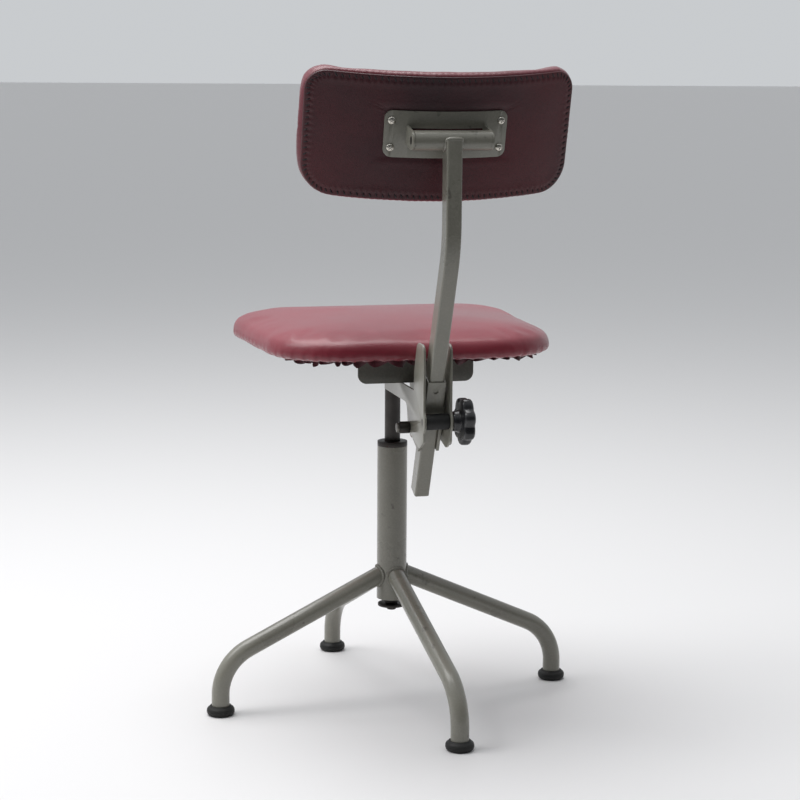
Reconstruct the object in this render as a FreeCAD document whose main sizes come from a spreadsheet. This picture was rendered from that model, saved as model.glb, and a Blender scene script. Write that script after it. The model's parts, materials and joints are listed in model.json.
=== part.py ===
import FreeCAD, Part
import math
import os
import re
import Sketcher
from FreeCAD import Placement, Rotation, Vector

# Drafting chair: a four-legged tube base, a screw spindle that raises the seat as it turns, and a
# backrest on a sliding arm that tilts between two bracket plates.
# Millimetres. Origin on the floor at the column's axis, +Z up, -Y the front, +X the sitter's left.

SIZES = {
    # base
    "column_radius": 21.2,
    "column_wall": 2.6,
    "column_bottom": 146,
    "column_top": 367,
    "bush_rim": 7,
    "bush_depth": 40,
    "nut_height": 24,
    "leg_radius": 12.5,
    "leg_wall": 2,
    "leg_slope": 24.5,
    "leg_bend": 70,
    "leg_turn": 7.1,
    "root_height": 189,
    "foot_circle": 255,
    "cap_floor": 4,
    "cap_base": 17,
    "cap_radius": 19.5,
    "cap_bulge": 5,
    "cap_shoulder": 8.5,
    "cap_neck": 15.5,
    "cap_height": 13.5,
    # clearances
    "running_gap": 0.08,
    "press_gap": 0.03,
    "slide_gap": 0.3,
    # spindle and its stop
    "spindle_radius": 11,
    "spindle_bottom": 138.4,
    "stop_bolt_radius": 4,
    "stop_bolt_depth": 26,
    "stop_head_radius": 6.5,
    "stop_head_height": 5.5,
    "stop_washer_radius": 19.5,
    "stop_washer_height": 3.6,
    "flange_radius": 28,
    "flange_height": 6,
    # seat
    "pan_half_width": 80,
    "pan_front": 110,
    "pan_rear": 130,
    "pan_rim": 476,
    "pan_top": 515,
    "pan_wall": 3,
    "pan_corner": 12,
    "board_height": 12,
    "board_inset": 10,
    "seat_front_width": 428,
    "seat_rear_width": 384,
    "seat_depth": 378,
    "seat_under": 512,
    "seat_top": 559,
    "seat_front_corner": 85,
    "seat_rear_corner": 105,
    "seat_crown": 24,
    "seat_edge": 15,
    "seat_roll": 7,
    "hem_inset": 6,
    "hem_width": 8,
    "hem_drop": 8,
    "pan_screw_x": 62,
    "pan_screw_front": 88,
    "pan_screw_rear": 96,
    "pan_screw_radius": 2.5,
    "pan_screw_head": 4.5,
    "pan_screw_head_height": 2.5,
    "pan_screw_bite": 9,
    # rear bracket: two plates, each a profile in depth (Y) and height (Z)
    "plate_gap": 33,
    "plate_thickness": 3,
    "plate_front": 31,
    "plate_lower": 453.5,
    "plate_notch": 122,
    "plate_knee": 155,
    "plate_heel_depth": 164,
    "plate_heel": 416,
    "plate_toe_depth": 222,
    "plate_toe": 402,
    "plate_rear": 243,
    "plate_rear_foot": 414,
    "plate_head": 541,
    "plate_head_depth": 208,
    "plate_slope_depth": 192,
    "plate_slope": 499,
    "plate_round": 12,
    "plate_fillet": 12,
    "ear_reach": 6,
    "ear_half": 14,
    "pivot_depth": 170,
    "pivot_height": 422.5,
    "pivot_bolt_radius": 4,
    "boss_radius": 8,
    "boss_length": 14,
    "pivot_head_radius": 6.5,
    "pivot_head_height": 3.5,
    "pivot_tail": 13,
    "knob_depth": 236,
    "knob_height": 440,
    "knob_bolt_radius": 4,
    "buffer_radius": 10.5,
    "plate_play": 0.1,
    # star knob and wing nut
    "knob_lobes": 7,
    "lobe_radius": 8.5,
    "lobe_circle": 24.5,
    "knob_core": 25.5,
    "knob_thickness": 15,
    "collar_radius": 14,
    "collar_length": 11,
    "knob_bore_depth": 19,
    "turn_gap": 0.3,
    "wing_hub_radius": 7.5,
    "wing_hub_length": 11,
    "wing_reach": 19,
    "wing_tip_radius": 7,
    "wing_hole_radius": 4,
    "wing_thickness": 4,
    "wing_angle": -58,
    # back arm and its holder
    "arm_width": 20,
    "arm_depth": 25,
    "arm_wall": 2,
    "arm_corner": 3,
    "arm_lean": 23.2,
    "arm_foot_depth": 159.5,
    "arm_foot_height": 342.9,
    "arm_tail": 12,
    "arm_bend": 150,
    "arm_rear": 300.5,
    "holder_wall": 1.7,
    "holder_start": 104,
    "holder_end": 168,
    "cheek_thickness": 4,
    "cheek_start": 62,
    "cheek_end": 128,
    "cheek_front": 33,
    "holder_hole_radius": 3.25,
    "holder_hole_drop": 14,
    "friction_washer_radius": 14,
    # cross tube and back plate, about the cross tube's axis
    "cross_depth": 295.5,
    "cross_height": 804.5,
    "cross_radius": 12.5,
    "cross_wall": 2,
    "cross_length": 98,
    "rod_radius": 5,
    "cross_bush_length": 14,
    "back_tilt": 15,
    "back_radius": 370,
    "back_offset": 25,
    "back_width": 360,
    "back_top": 78,
    "back_bottom": 91,
    "back_thickness": 30,
    "back_cover": 2,
    "back_board": 7,
    "back_inset": 8,
    "back_top_corner": 32,
    "back_bottom_corner": 42,
    "back_plate_width": 159,
    "back_plate_height": 60,
    "back_plate_thickness": 3,
    "back_plate_corner": 10,
    "back_ear_radius": 12,
    "back_ear_thickness": 3,
    "back_window_height": 17,
    "back_screw_x": 71,
    "back_screw_z": 17.5,
    "back_screw_radius": 2.4,
    "back_screw_head": 5,
    "back_screw_head_height": 2.4,
    "back_screw_bite": 8,
}

LEG_NAMES = ("left", "rear", "right", "front")
MAX_NODES = 60
UPRIGHT = Rotation()
ALONG_X = Rotation(Vector(0, 1, 0), 90)
ALONG_Y = Rotation(Vector(1, 0, 0), -90)
TOUCH = 1e-6

doc = FreeCAD.newDocument("drafting_chair")
sheet = doc.addObject("Spreadsheet::Sheet", "Sizes")
for row, (alias, amount) in enumerate(SIZES.items(), start=1):
    sheet.set(f"A{row}", alias)
    sheet.set(f"B{row}", str(amount))
    sheet.setAlias(f"B{row}", alias)
doc.recompute()

finished = {}


def bound(text):
    """The expression with each size's name pointed at the sheet."""
    def point(found):
        return "Sizes." + found[0] if found[0] in SIZES else found[0]
    return re.sub(r"[a-z]\w*", point, str(text))


def number(text):
    """What an expression comes to now, for a sketch's first guess or a loop."""
    return float(sheet.evalExpression(bound(text)))


def bind(piece, **sizes):
    for name, text in sizes.items():
        piece.setExpression(name, bound(text))
    return piece


def place(piece, x=0, y=0, z=0, turn=UPRIGHT):
    piece.Placement = Placement(Vector(), turn)
    for axis, text in zip("xyz", (x, y, z)):
        piece.setExpression("Placement.Base." + axis, bound(text))
    return piece


def lay(piece, spot, axis, angle):
    """Turn a piece about one axis through its own origin and put that origin at a spot."""
    where = "vector({}; {}; {})".format(*spot)
    turn = "rotation(vector({}; {}; {}); {})".format(*axis, angle)
    piece.setExpression("Placement", bound(f"placement({where}; {turn})"))
    return piece


def cylinder(name, radius, height, x=0, y=0, z=0, turn=UPRIGHT):
    piece = doc.addObject("Part::Cylinder", name)
    return place(bind(piece, Radius=radius, Height=height), x, y, z, turn)


def box(name, length, width, height, x=0, y=0, z=0):
    piece = doc.addObject("Part::Box", name)
    return place(bind(piece, Length=length, Width=width, Height=height), x, y, z)


def fuse(name, *parts):
    whole = doc.addObject("Part::MultiFuse", name)
    whole.Shapes = list(parts)
    return whole


def common(name, first, second):
    shared = doc.addObject("Part::Common", name)
    shared.Base = first
    shared.Tool = second
    return shared


def cut(name, whole, *tools):
    rest = doc.addObject("Part::Cut", name)
    rest.Base = whole
    rest.Tool = tools[0] if len(tools) == 1 else fuse(name + "_tools", *tools)
    return rest


def group(name, parts):
    """Identical pieces that share one node as separate solids."""
    together = doc.addObject("Part::Compound", name)
    together.Links = list(parts)
    return together


def keep(label, piece):
    piece.Label = label
    finished[label] = piece
    return piece


def plane(body, role):
    return next(each for each in body.Origin.OriginFeatures if each.Role == role)


def new_sketch(body, name, role="XZ_Plane"):
    sketch = body.newObject("Sketcher::SketchObject", name)
    sketch.AttachmentSupport = (plane(body, role), [""])
    sketch.MapMode = "FlatFace"
    return sketch


def constrain(sketch, *what, size=None):
    index = sketch.addConstraint(Sketcher.Constraint(*what))
    if size is not None:
        sketch.setExpression(f"Constraints[{index}]", bound(size))


def outline(sketch, corners):
    """A closed outline of straight lines, each corner held by two sizes."""
    spots = [Vector(number(across), number(up), 0) for across, up in corners]
    lines = [
        sketch.addGeometry(Part.LineSegment(here, there))
        for here, there in zip(spots, spots[1:] + spots[:1])
    ]
    for line, (across, up), spot in zip(lines, corners, spots):
        constrain(sketch, "Coincident", line - 1 if line else lines[-1], 2, line, 1)
        for kind, text, offset in (("DistanceX", across, spot.x), ("DistanceY", up, spot.y)):
            if str(text) == "0":
                constrain(sketch, "PointOnObject", line, 1, -2 if kind == "DistanceX" else -1)
            else:
                constrain(sketch, kind, -1, 1, line, 1, offset, size=text)
    return sketch


def edge_names(feature, test):
    return [f"Edge{n}" for n, edge in enumerate(feature.Shape.Edges, start=1) if test(edge)]


def is_along(edge, axis):
    start, end = edge.Vertexes[0].Point, edge.Vertexes[-1].Point
    return abs((end - start).dot(axis)) > (1 - TOUCH) * (end - start).Length > TOUCH


def near(first, second):
    return abs(first - second) < TOUCH


def fillet(body, name, feature, test, radius):
    rounded = body.newObject("PartDesign::Fillet", name)
    rounded.Base = (feature, edge_names(feature, test))
    rounded.setExpression("Radius", bound(radius))
    doc.recompute()
    return rounded


def rounded_block(name, length, width, height, x, y, z, corners, along):
    """A block with some of its edges along one direction rounded."""
    body = doc.addObject("PartDesign::Body", name)
    block = body.newObject("PartDesign::AdditiveBox", name + "_block")
    bind(block, Length=length, Width=width, Height=height)
    for axis, text in zip("xyz", (x, y, z)):
        block.setExpression("Placement.Base." + axis, bound(text))
    doc.recompute()
    feature = block
    for test, radius in corners:
        rounder = f"{name}_corners{len(body.Group)}"
        chosen = lambda e, test=test: is_along(e, along) and test(e)
        feature = fillet(body, rounder, feature, chosen, radius)
    return body


def any_edge(_edge):
    return True


def make_column():
    inner = "column_radius - column_wall"
    tube = cylinder("column_skin", "column_radius", "column_top - column_bottom", z="column_bottom")
    hollow = cylinder("column_hollow", inner, "column_top - column_bottom", z="column_bottom")
    keep("column_tube", cut("column", tube, hollow))

    rim = cylinder("bush_rim_disc", "column_radius", "bush_rim", z="column_top")
    plug = cylinder("bush_plug", inner + " - press_gap", "bush_depth", z="column_top - bush_depth")
    depth = "bush_depth + bush_rim"
    bore = cylinder("bush_bore", "spindle_radius + running_gap", depth, z="column_top - bush_depth")
    keep("top_bush", cut("bush", fuse("bush_blank", rim, plug), bore))

    nut = cylinder("nut_blank", inner + " - press_gap", "nut_height", z="column_bottom")
    nut_bore = cylinder("nut_bore", "spindle_radius + running_gap", "nut_height", z="column_bottom")
    keep("spindle_nut", cut("nut", nut, nut_bore))


def make_leg_tube(name):
    """A tube down a slope from the axis, round one bend and straight into its foot."""
    body = doc.addObject("PartDesign::Body", name)
    path = new_sketch(body, name + "_path")
    slope = math.radians(number("leg_slope"))
    bend = number("leg_bend")
    reach = number("foot_circle")
    top = number("root_height")
    turn = math.pi / 2 - slope
    run_in = bend * math.tan(turn / 2)
    corner = Vector(reach, top - reach * math.tan(slope), 0)
    start = Vector(0, top, 0)
    bend_start = corner + Vector(-math.cos(slope), math.sin(slope), 0) * run_in
    bend_end = corner - Vector(0, run_in, 0)
    centre = bend_end - Vector(bend, 0, 0)
    sloped = path.addGeometry(Part.LineSegment(start, bend_start))
    arc = path.addGeometry(Part.ArcOfCircle(Part.Circle(centre, Vector(0, 0, 1), bend), 0, turn))
    foot = Vector(reach, number("cap_floor"), 0)
    straight = path.addGeometry(Part.LineSegment(bend_end, foot))
    constrain(path, "PointOnObject", sloped, 1, -2)
    constrain(path, "DistanceY", -1, 1, sloped, 1, start.y, size="root_height")
    constrain(path, "Tangent", sloped, 2, arc, 2)
    constrain(path, "Tangent", arc, 1, straight, 1)
    constrain(path, "Vertical", straight)
    constrain(path, "DistanceX", -1, 1, straight, 2, foot.x, size="foot_circle")
    constrain(path, "DistanceY", -1, 1, straight, 2, foot.y, size="cap_floor")
    constrain(path, "Radius", arc, bend, size="leg_bend")
    constrain(path, "Angle", sloped, -slope, size="-leg_slope * 1deg")
    doc.recompute()
    ring = body.newObject("Sketcher::SketchObject", name + "_ring")
    ring.AttachmentSupport = [(path, "Edge1")]
    ring.MapMode = "NormalToEdge"
    ring.MapPathParameter = 0
    for radius in ("leg_radius", "leg_radius - leg_wall"):
        circle = ring.addGeometry(Part.Circle(Vector(), Vector(0, 0, 1), number(radius)))
        constrain(ring, "Coincident", circle, 3, -1, 1)
        constrain(ring, "Radius", circle, number(radius), size=radius)
    pipe = body.newObject("PartDesign::AdditivePipe", name + "_pipe")
    pipe.Profile = (ring, [""])
    pipe.Spine = (path, ["Edge1", "Edge2", "Edge3"])
    doc.recompute()
    return body


def make_foot_cap(name):
    """A moulded rubber cup that the leg's end stands in."""
    body = doc.addObject("PartDesign::Body", name)
    profile = new_sketch(body, name + "_profile")
    mouth = "leg_radius + press_gap"
    corners = (
        ("0", "0"), ("cap_base", "0"), ("cap_radius", "cap_bulge"), ("cap_radius", "cap_shoulder"),
        ("cap_neck", "cap_height"), (mouth, "cap_height"), (mouth, "cap_floor"), ("0", "cap_floor"),
    )
    outline(profile, corners)
    turned = body.newObject("PartDesign::Revolution", name + "_turned")
    turned.Profile = profile
    turned.ReferenceAxis = (profile, ["V_Axis"])
    turned.Angle = 360
    doc.recompute()
    return body


def make_legs():
    for index, side in enumerate(LEG_NAMES):
        angle = f"leg_turn + {index * 90}"
        tube = lay(make_leg_tube(f"tube_{side}"), (0, 0, 0), (0, 0, 1), angle)
        height = "root_height + column_radius"
        cope = cylinder(f"cope_{side}", "column_radius", height)
        keep(f"leg_{side}", cut(f"coped_{side}", tube, cope))
        spot = [f"foot_circle * {turn}(({angle}) * 1deg)" for turn in ("cos", "sin")]
        keep(f"foot_cap_{side}", lay(make_foot_cap(f"cap_{side}"), (*spot, 0), (0, 0, 1), angle))


def make_spindle():
    top = "pan_top - pan_wall"
    length = f"{top} - spindle_bottom"
    bar = cylinder("spindle_bar", "spindle_radius", length, z="spindle_bottom")
    tapped_radius = "stop_bolt_radius + press_gap"
    tapped = cylinder("spindle_tapping", tapped_radius, "stop_bolt_depth", z="spindle_bottom")
    keep("spindle", cut("spindle_cut", bar, tapped))

    flange_floor = f"{top} - flange_height"
    disc = cylinder("flange_disc", "flange_radius", "flange_height", z=flange_floor)
    eye = cylinder("flange_eye", "spindle_radius + press_gap", "flange_height", z=flange_floor)
    keep("spindle_flange", cut("flange", disc, eye))

    washer_room = "stop_washer_height + 2 * slide_gap"
    shank_length = f"stop_bolt_depth + {washer_room}"
    shank = cylinder("stop_shank", "stop_bolt_radius", shank_length, z=f"spindle_bottom - ({washer_room})")
    head_floor = f"spindle_bottom - ({washer_room}) - stop_head_height"
    head = cylinder("stop_head", "stop_head_radius", "stop_head_height", z=head_floor)
    keep("stop_bolt", fuse("stop", shank, head))

    washer_floor = "spindle_bottom - slide_gap - stop_washer_height"
    ring = cylinder("washer_disc", "stop_washer_radius", "stop_washer_height", z=washer_floor)
    hole = cylinder("washer_hole", "stop_bolt_radius + slide_gap", "stop_washer_height", z=washer_floor)
    keep("stop_washer", cut("washer", ring, hole))


def seat_block(name, inset, floor, height, edges=()):
    """A block of the seat's own plan, wider at the front, drawn in by an inset all round."""
    body = doc.addObject("PartDesign::Body", name)
    profile = new_sketch(body, name + "_profile", "XY_Plane")
    taper = "(seat_front_width - seat_rear_width) / 2"
    near_side, far_side = inset, f"seat_depth - ({inset})"
    corners = (
        (inset, near_side), (f"seat_front_width - ({inset})", near_side),
        (f"seat_front_width - {taper} - ({inset})", far_side), (f"{taper} + {inset}", far_side),
    )
    outline(profile, corners)
    pad = body.newObject("PartDesign::Pad", name + "_pad")
    pad.Profile = profile
    pad.setExpression("Length", bound(height))
    doc.recompute()
    feature = pad
    middle = number("seat_depth / 2")
    for end, sign in (("front", -1), ("rear", 1)):
        corner = lambda e, sign=sign: (
            is_along(e, Vector(0, 0, 1)) and (e.CenterOfMass.y - middle) * sign > 0
        )
        radius = f"seat_{end}_corner - ({inset})"
        feature = fillet(body, f"{name}_{end}_corners", feature, corner, radius)
    for end, radius in edges:
        at = number(height) if end == "top" else 0
        on_rim = lambda e, at=at: near(e.BoundBox.ZMin, at) and near(e.BoundBox.ZMax, at)
        feature = fillet(body, f"{name}_{end}", feature, on_rim, radius)
    return place(body, "-seat_front_width / 2", "-seat_depth / 2", floor)


def make_seat():
    depth = "pan_front + pan_rear"
    middle = number("(pan_top + pan_rim) / 2")
    outer = rounded_block(
        "carrier_outer", "2 * pan_half_width", depth, "pan_top - pan_rim",
        "-pan_half_width", "-pan_front", "pan_rim",
        [(lambda e: e.CenterOfMass.z < middle, "pan_corner")], Vector(0, 1, 0),
    )
    inner = box(
        "carrier_inner", "2 * pan_half_width", f"{depth} - 2 * pan_wall",
        "pan_top - pan_rim - pan_wall", "-pan_half_width", "-pan_front + pan_wall", "pan_rim",
    )
    spots = [(x, y) for x in ("pan_screw_x", "-pan_screw_x") for y in ("-pan_screw_front", "pan_screw_rear")]
    pan_holes, board_holes, screws = [], [], []
    for index, (x, y) in enumerate(spots):
        web = "pan_top - pan_wall"
        hole_radius = "pan_screw_radius + slide_gap"
        pan_holes.append(cylinder(f"pan_hole{index}", hole_radius, "pan_wall", x, y, web))
        pilot_radius = "pan_screw_radius + press_gap"
        board_holes.append(cylinder(f"board_hole{index}", pilot_radius, "pan_screw_bite", x, y, "pan_top"))
        shank = cylinder(f"pan_shank{index}", "pan_screw_radius", "pan_wall + pan_screw_bite", x, y, web)
        head_floor = f"{web} - pan_screw_head_height"
        head = cylinder(f"pan_head{index}", "pan_screw_head", "pan_screw_head_height", x, y, head_floor)
        screws.append(fuse(f"pan_screw{index}", shank, head))
    keep("seat_carrier", cut("carrier", outer, inner, *pan_holes))
    keep("carrier_screws", group("carrier_screw_set", screws))

    board = seat_block("board_blank", "board_inset", "pan_top", "board_height")
    keep("seat_board", cut("board", board, *board_holes))

    rims = [("top", "seat_edge"), ("bottom", "seat_roll")]
    block = seat_block("cushion_blank", "0", "seat_under", "seat_top - seat_under", rims)
    crown_radius = "((seat_front_width / 2)^2 + seat_crown^2) / (2 * seat_crown)"
    crown = doc.addObject("Part::Sphere", "cushion_crown")
    place(bind(crown, Radius=crown_radius), z=f"seat_top - {crown_radius}")
    cushion = common("cushion_crowned", block, crown)
    pocket_height = "pan_top + board_height - seat_under"
    pocket = seat_block("cushion_pocket", "board_inset", "seat_under", pocket_height)
    keep("seat_cushion", cut("cushion", cushion, pocket))

    hem_floor = "seat_under - hem_drop"
    hem = seat_block("hem_outer", "hem_inset + seat_roll", hem_floor, "hem_drop")
    hem_hollow = seat_block("hem_inner", "hem_inset + seat_roll + hem_width", hem_floor, "hem_drop")
    keep("seat_hem", cut("hem", hem, hem_hollow))


def make_bracket_plate(name, x):
    """One plate of the bracket: welded in the pan, down to the pivot and up behind the seat."""
    body = doc.addObject("PartDesign::Body", name)
    profile = new_sketch(body, name + "_profile", "YZ_Plane")
    ear = "plate_rear + ear_reach"
    corners = (
        ("plate_front", "plate_lower"), ("plate_knee", "plate_lower"),
        ("plate_heel_depth", "plate_heel"), ("plate_toe_depth", "plate_toe"),
        ("plate_rear", "plate_rear_foot"), ("plate_rear", "knob_height - ear_half"),
        (ear, "knob_height - ear_half / 2"), (ear, "knob_height + ear_half / 2"),
        ("plate_rear", "knob_height + ear_half"), ("plate_rear", "plate_head"),
        ("plate_head_depth", "plate_head"), ("plate_slope_depth", "plate_slope"),
        ("plate_slope_depth", "pan_rim - slide_gap"), ("plate_notch", "pan_rim - slide_gap"),
        ("plate_notch", "pan_top - pan_wall"), ("plate_front", "pan_top - pan_wall"),
    )
    outline(profile, corners)
    pad = body.newObject("PartDesign::Pad", name + "_pad")
    pad.Profile = profile
    pad.setExpression("Length", bound("plate_thickness"))
    doc.recompute()

    def at(depth, height):
        place_y, place_z = number(depth), number(height)
        return lambda e: (
            is_along(e, Vector(1, 0, 0))
            and near(e.CenterOfMass.y, place_y) and near(e.CenterOfMass.z, place_z)
        )

    knee = fillet(body, name + "_knee", pad, at("plate_knee", "plate_lower"), "plate_fillet")
    rounds = [at(*corner) for corner in (corners[2], corners[3], corners[9], corners[10], corners[11])]
    fillet(body, name + "_rounds", knee, lambda e: any(test(e) for test in rounds), "plate_round")
    return place(body, x)


def make_bracket():
    half_gap = "plate_gap / 2"
    spots = (("left", half_gap), ("right", f"-{half_gap} - plate_thickness"))
    for side, x in spots:
        plate = make_bracket_plate(f"bracket_{side}", x)
        pivot_hole = cylinder(
            f"pivot_hole_{side}", "pivot_bolt_radius + press_gap", "plate_thickness",
            x, "pivot_depth", "pivot_height", ALONG_X,
        )
        knob_hole = cylinder(
            f"knob_hole_{side}", "knob_bolt_radius + press_gap", "plate_thickness",
            x, "knob_depth", "knob_height", ALONG_X,
        )
        keep(f"bracket_plate_{side}", cut(f"drilled_{side}", plate, pivot_hole, knob_hole))

    outside = f"{half_gap} + plate_thickness"
    at_pivot = ("pivot_depth", "pivot_height", ALONG_X)
    at_knob = ("knob_depth", "knob_height", ALONG_X)
    boss = cylinder("boss_blank", "boss_radius", "boss_length", outside, *at_pivot)
    eye = cylinder("boss_eye", "pivot_bolt_radius + press_gap", "boss_length", outside, *at_pivot)
    keep("pivot_boss", cut("boss", boss, eye))

    tail = f"-({outside}) - pivot_tail"
    shank_length = "plate_gap + 2 * plate_thickness + boss_length + pivot_tail"
    shank = cylinder("pivot_shank", "pivot_bolt_radius", shank_length, tail, *at_pivot)
    head_start = f"{outside} + boss_length"
    head = cylinder("pivot_head", "pivot_head_radius", "pivot_head_height", head_start, *at_pivot)
    keep("pivot_bolt", fuse("pivot", shank, head))

    stud_length = "plate_gap + 2 * plate_thickness + knob_bore_depth"
    stud_start = f"-({outside}) - knob_bore_depth"
    keep("knob_bolt", cylinder("knob_stud", "knob_bolt_radius", stud_length, stud_start, *at_knob))

    sleeve_length = "plate_gap - 2 * plate_play"
    sleeve_start = f"-{half_gap} + plate_play"
    sleeve = cylinder("buffer_blank", "buffer_radius", sleeve_length, sleeve_start, *at_knob)
    sleeve_eye = cylinder(
        "buffer_eye", "knob_bolt_radius + press_gap", sleeve_length, sleeve_start, *at_knob,
    )
    keep("clamp_buffer", cut("buffer", sleeve, sleeve_eye))


def make_star_knob():
    """A lobed hand knob with a collar, blind-tapped for the clamp bolt."""
    face = "-plate_gap / 2 - plate_thickness - turn_gap"
    rim_end = f"{face} - collar_length - knob_thickness"
    at_knob = ("knob_depth", "knob_height", ALONG_X)
    collar_span = "collar_length + knob_thickness"
    core = cylinder("knob_disc", "knob_core", "knob_thickness", rim_end, *at_knob)
    collar = cylinder("knob_collar", "collar_radius", collar_span, rim_end, *at_knob)
    lobes = []
    for index in range(int(number("knob_lobes"))):
        angle = f"({index} * 360 / knob_lobes) * 1deg"
        y = f"knob_depth + lobe_circle * cos({angle})"
        z = f"knob_height + lobe_circle * sin({angle})"
        lobe = cylinder(f"knob_lobe{index}", "lobe_radius", "knob_thickness", rim_end, y, z, ALONG_X)
        lobes.append(lobe)
    bore = cylinder(
        "knob_bore", "knob_bolt_radius + running_gap", "knob_bore_depth + slide_gap",
        f"{face} - knob_bore_depth - slide_gap", *at_knob,
    )
    keep("star_knob", cut("knob", fuse("knob_blank", core, collar, *lobes), bore))


def make_wing_nut():
    """A hub with two pierced wings, drawn level and then turned to its angle."""
    face = "-plate_gap / 2 - plate_thickness - turn_gap"
    hub_end = f"{face} - wing_hub_length"
    hub = cylinder("wing_hub", "wing_hub_radius", "wing_hub_length", hub_end, turn=ALONG_X)
    bore = cylinder(
        "wing_bore", "pivot_bolt_radius + running_gap", "wing_hub_length", hub_end, turn=ALONG_X,
    )
    middle = f"{face} - wing_tip_radius"
    wings, holes = [], []
    for index, way in enumerate(("", "-")):
        tip = f"{way}wing_reach"
        eye = ("0", "wing_thickness", middle, tip, "-wing_thickness / 2")
        wings.append(cylinder(f"wing_tip{index}", "wing_tip_radius", eye[1], *eye[2:]))
        start = "0" if not way else tip
        web = box(
            f"wing_web{index}", "wing_hub_length", "wing_reach", "wing_thickness",
            hub_end, start, "-wing_thickness / 2",
        )
        wings.append(web)
        holes.append(cylinder(f"wing_hole{index}", "wing_hole_radius", eye[1], *eye[2:]))
    nut = cut("wing", fuse("wing_blank", hub, *wings), bore, *holes)
    keep("wing_nut", lay(nut, (0, "pivot_depth", "pivot_height"), (1, 0, 0), "wing_angle"))


ARM_SPOT = ("0", "arm_foot_depth", "arm_foot_height")


def lean(piece):
    """From the arm's own frame, up its straight stretch, to the chair's."""
    return lay(piece, ARM_SPOT, (1, 0, 0), "-arm_lean")


def pivot_in_arm_frame():
    """The pivot bolt's place in the arm's frame: how far behind its middle line, how far up it."""
    ahead = "(pivot_depth - arm_foot_depth)"
    above = "(pivot_height - arm_foot_height)"
    angle = "(arm_lean * 1deg)"
    return (
        f"({ahead} * cos{angle} - {above} * sin{angle})",
        f"({ahead} * sin{angle} + {above} * cos{angle})",
    )


def make_holder():
    """The sleeve that the arm slides in, with two cheeks that reach forward to the pivot."""
    half_width = "(arm_width / 2 + slide_gap)"
    half_depth = "(arm_depth / 2 + slide_gap)"
    wide, deep = f"2 * ({half_width} + holder_wall)", f"2 * ({half_depth} + holder_wall)"
    side, back = f"-({half_width} + holder_wall)", f"-({half_depth} + holder_wall)"
    span = "holder_end - holder_start"
    sleeve = box("sleeve_blank", wide, deep, span, side, back, "holder_start")
    cheek_span = "cheek_end - cheek_start"
    cheek_depth = f"cheek_front + {half_depth} + holder_wall"
    cheeks = [
        box(f"cheek_{name}", "cheek_thickness", cheek_depth, cheek_span, x, "-cheek_front", "cheek_start")
        for name, x in (("left", half_width), ("right", f"-{half_width} - cheek_thickness"))
    ]
    passage_span = "holder_end - cheek_start"
    passage = box(
        "sleeve_passage", f"2 * {half_width}", f"2 * {half_depth}", passage_span,
        f"-{half_width}", f"-{half_depth}", "cheek_start",
    )
    back_y, up_z = pivot_in_arm_frame()
    across = f"{half_width} + cheek_thickness"
    pivot_bore = cylinder(
        "holder_bore", "pivot_bolt_radius + running_gap", f"2 * ({across})",
        f"-({across})", back_y, up_z, ALONG_X,
    )
    rivet_hole = cylinder(
        "holder_hole", "holder_hole_radius", "2 * holder_wall", "0",
        f"{half_depth} - holder_wall / 2", "holder_end - holder_hole_drop", ALONG_Y,
    )
    blank = fuse("holder_blank", sleeve, *cheeks)
    keep("arm_holder", lean(cut("holder", blank, passage, pivot_bore, rivet_hole)))

    thickness = f"plate_gap / 2 - ({across}) - slide_gap"
    for name, x in (("left", across), ("right", f"-({across}) - ({thickness})")):
        at_pivot = (x, "pivot_depth", "pivot_height", ALONG_X)
        disc = cylinder(f"friction_disc_{name}", "friction_washer_radius", thickness, *at_pivot)
        eye_radius = "pivot_bolt_radius + running_gap"
        eye = cylinder(f"friction_eye_{name}", eye_radius, thickness, *at_pivot)
        keep(f"friction_washer_{name}", cut(f"friction_{name}", disc, eye))


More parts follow.
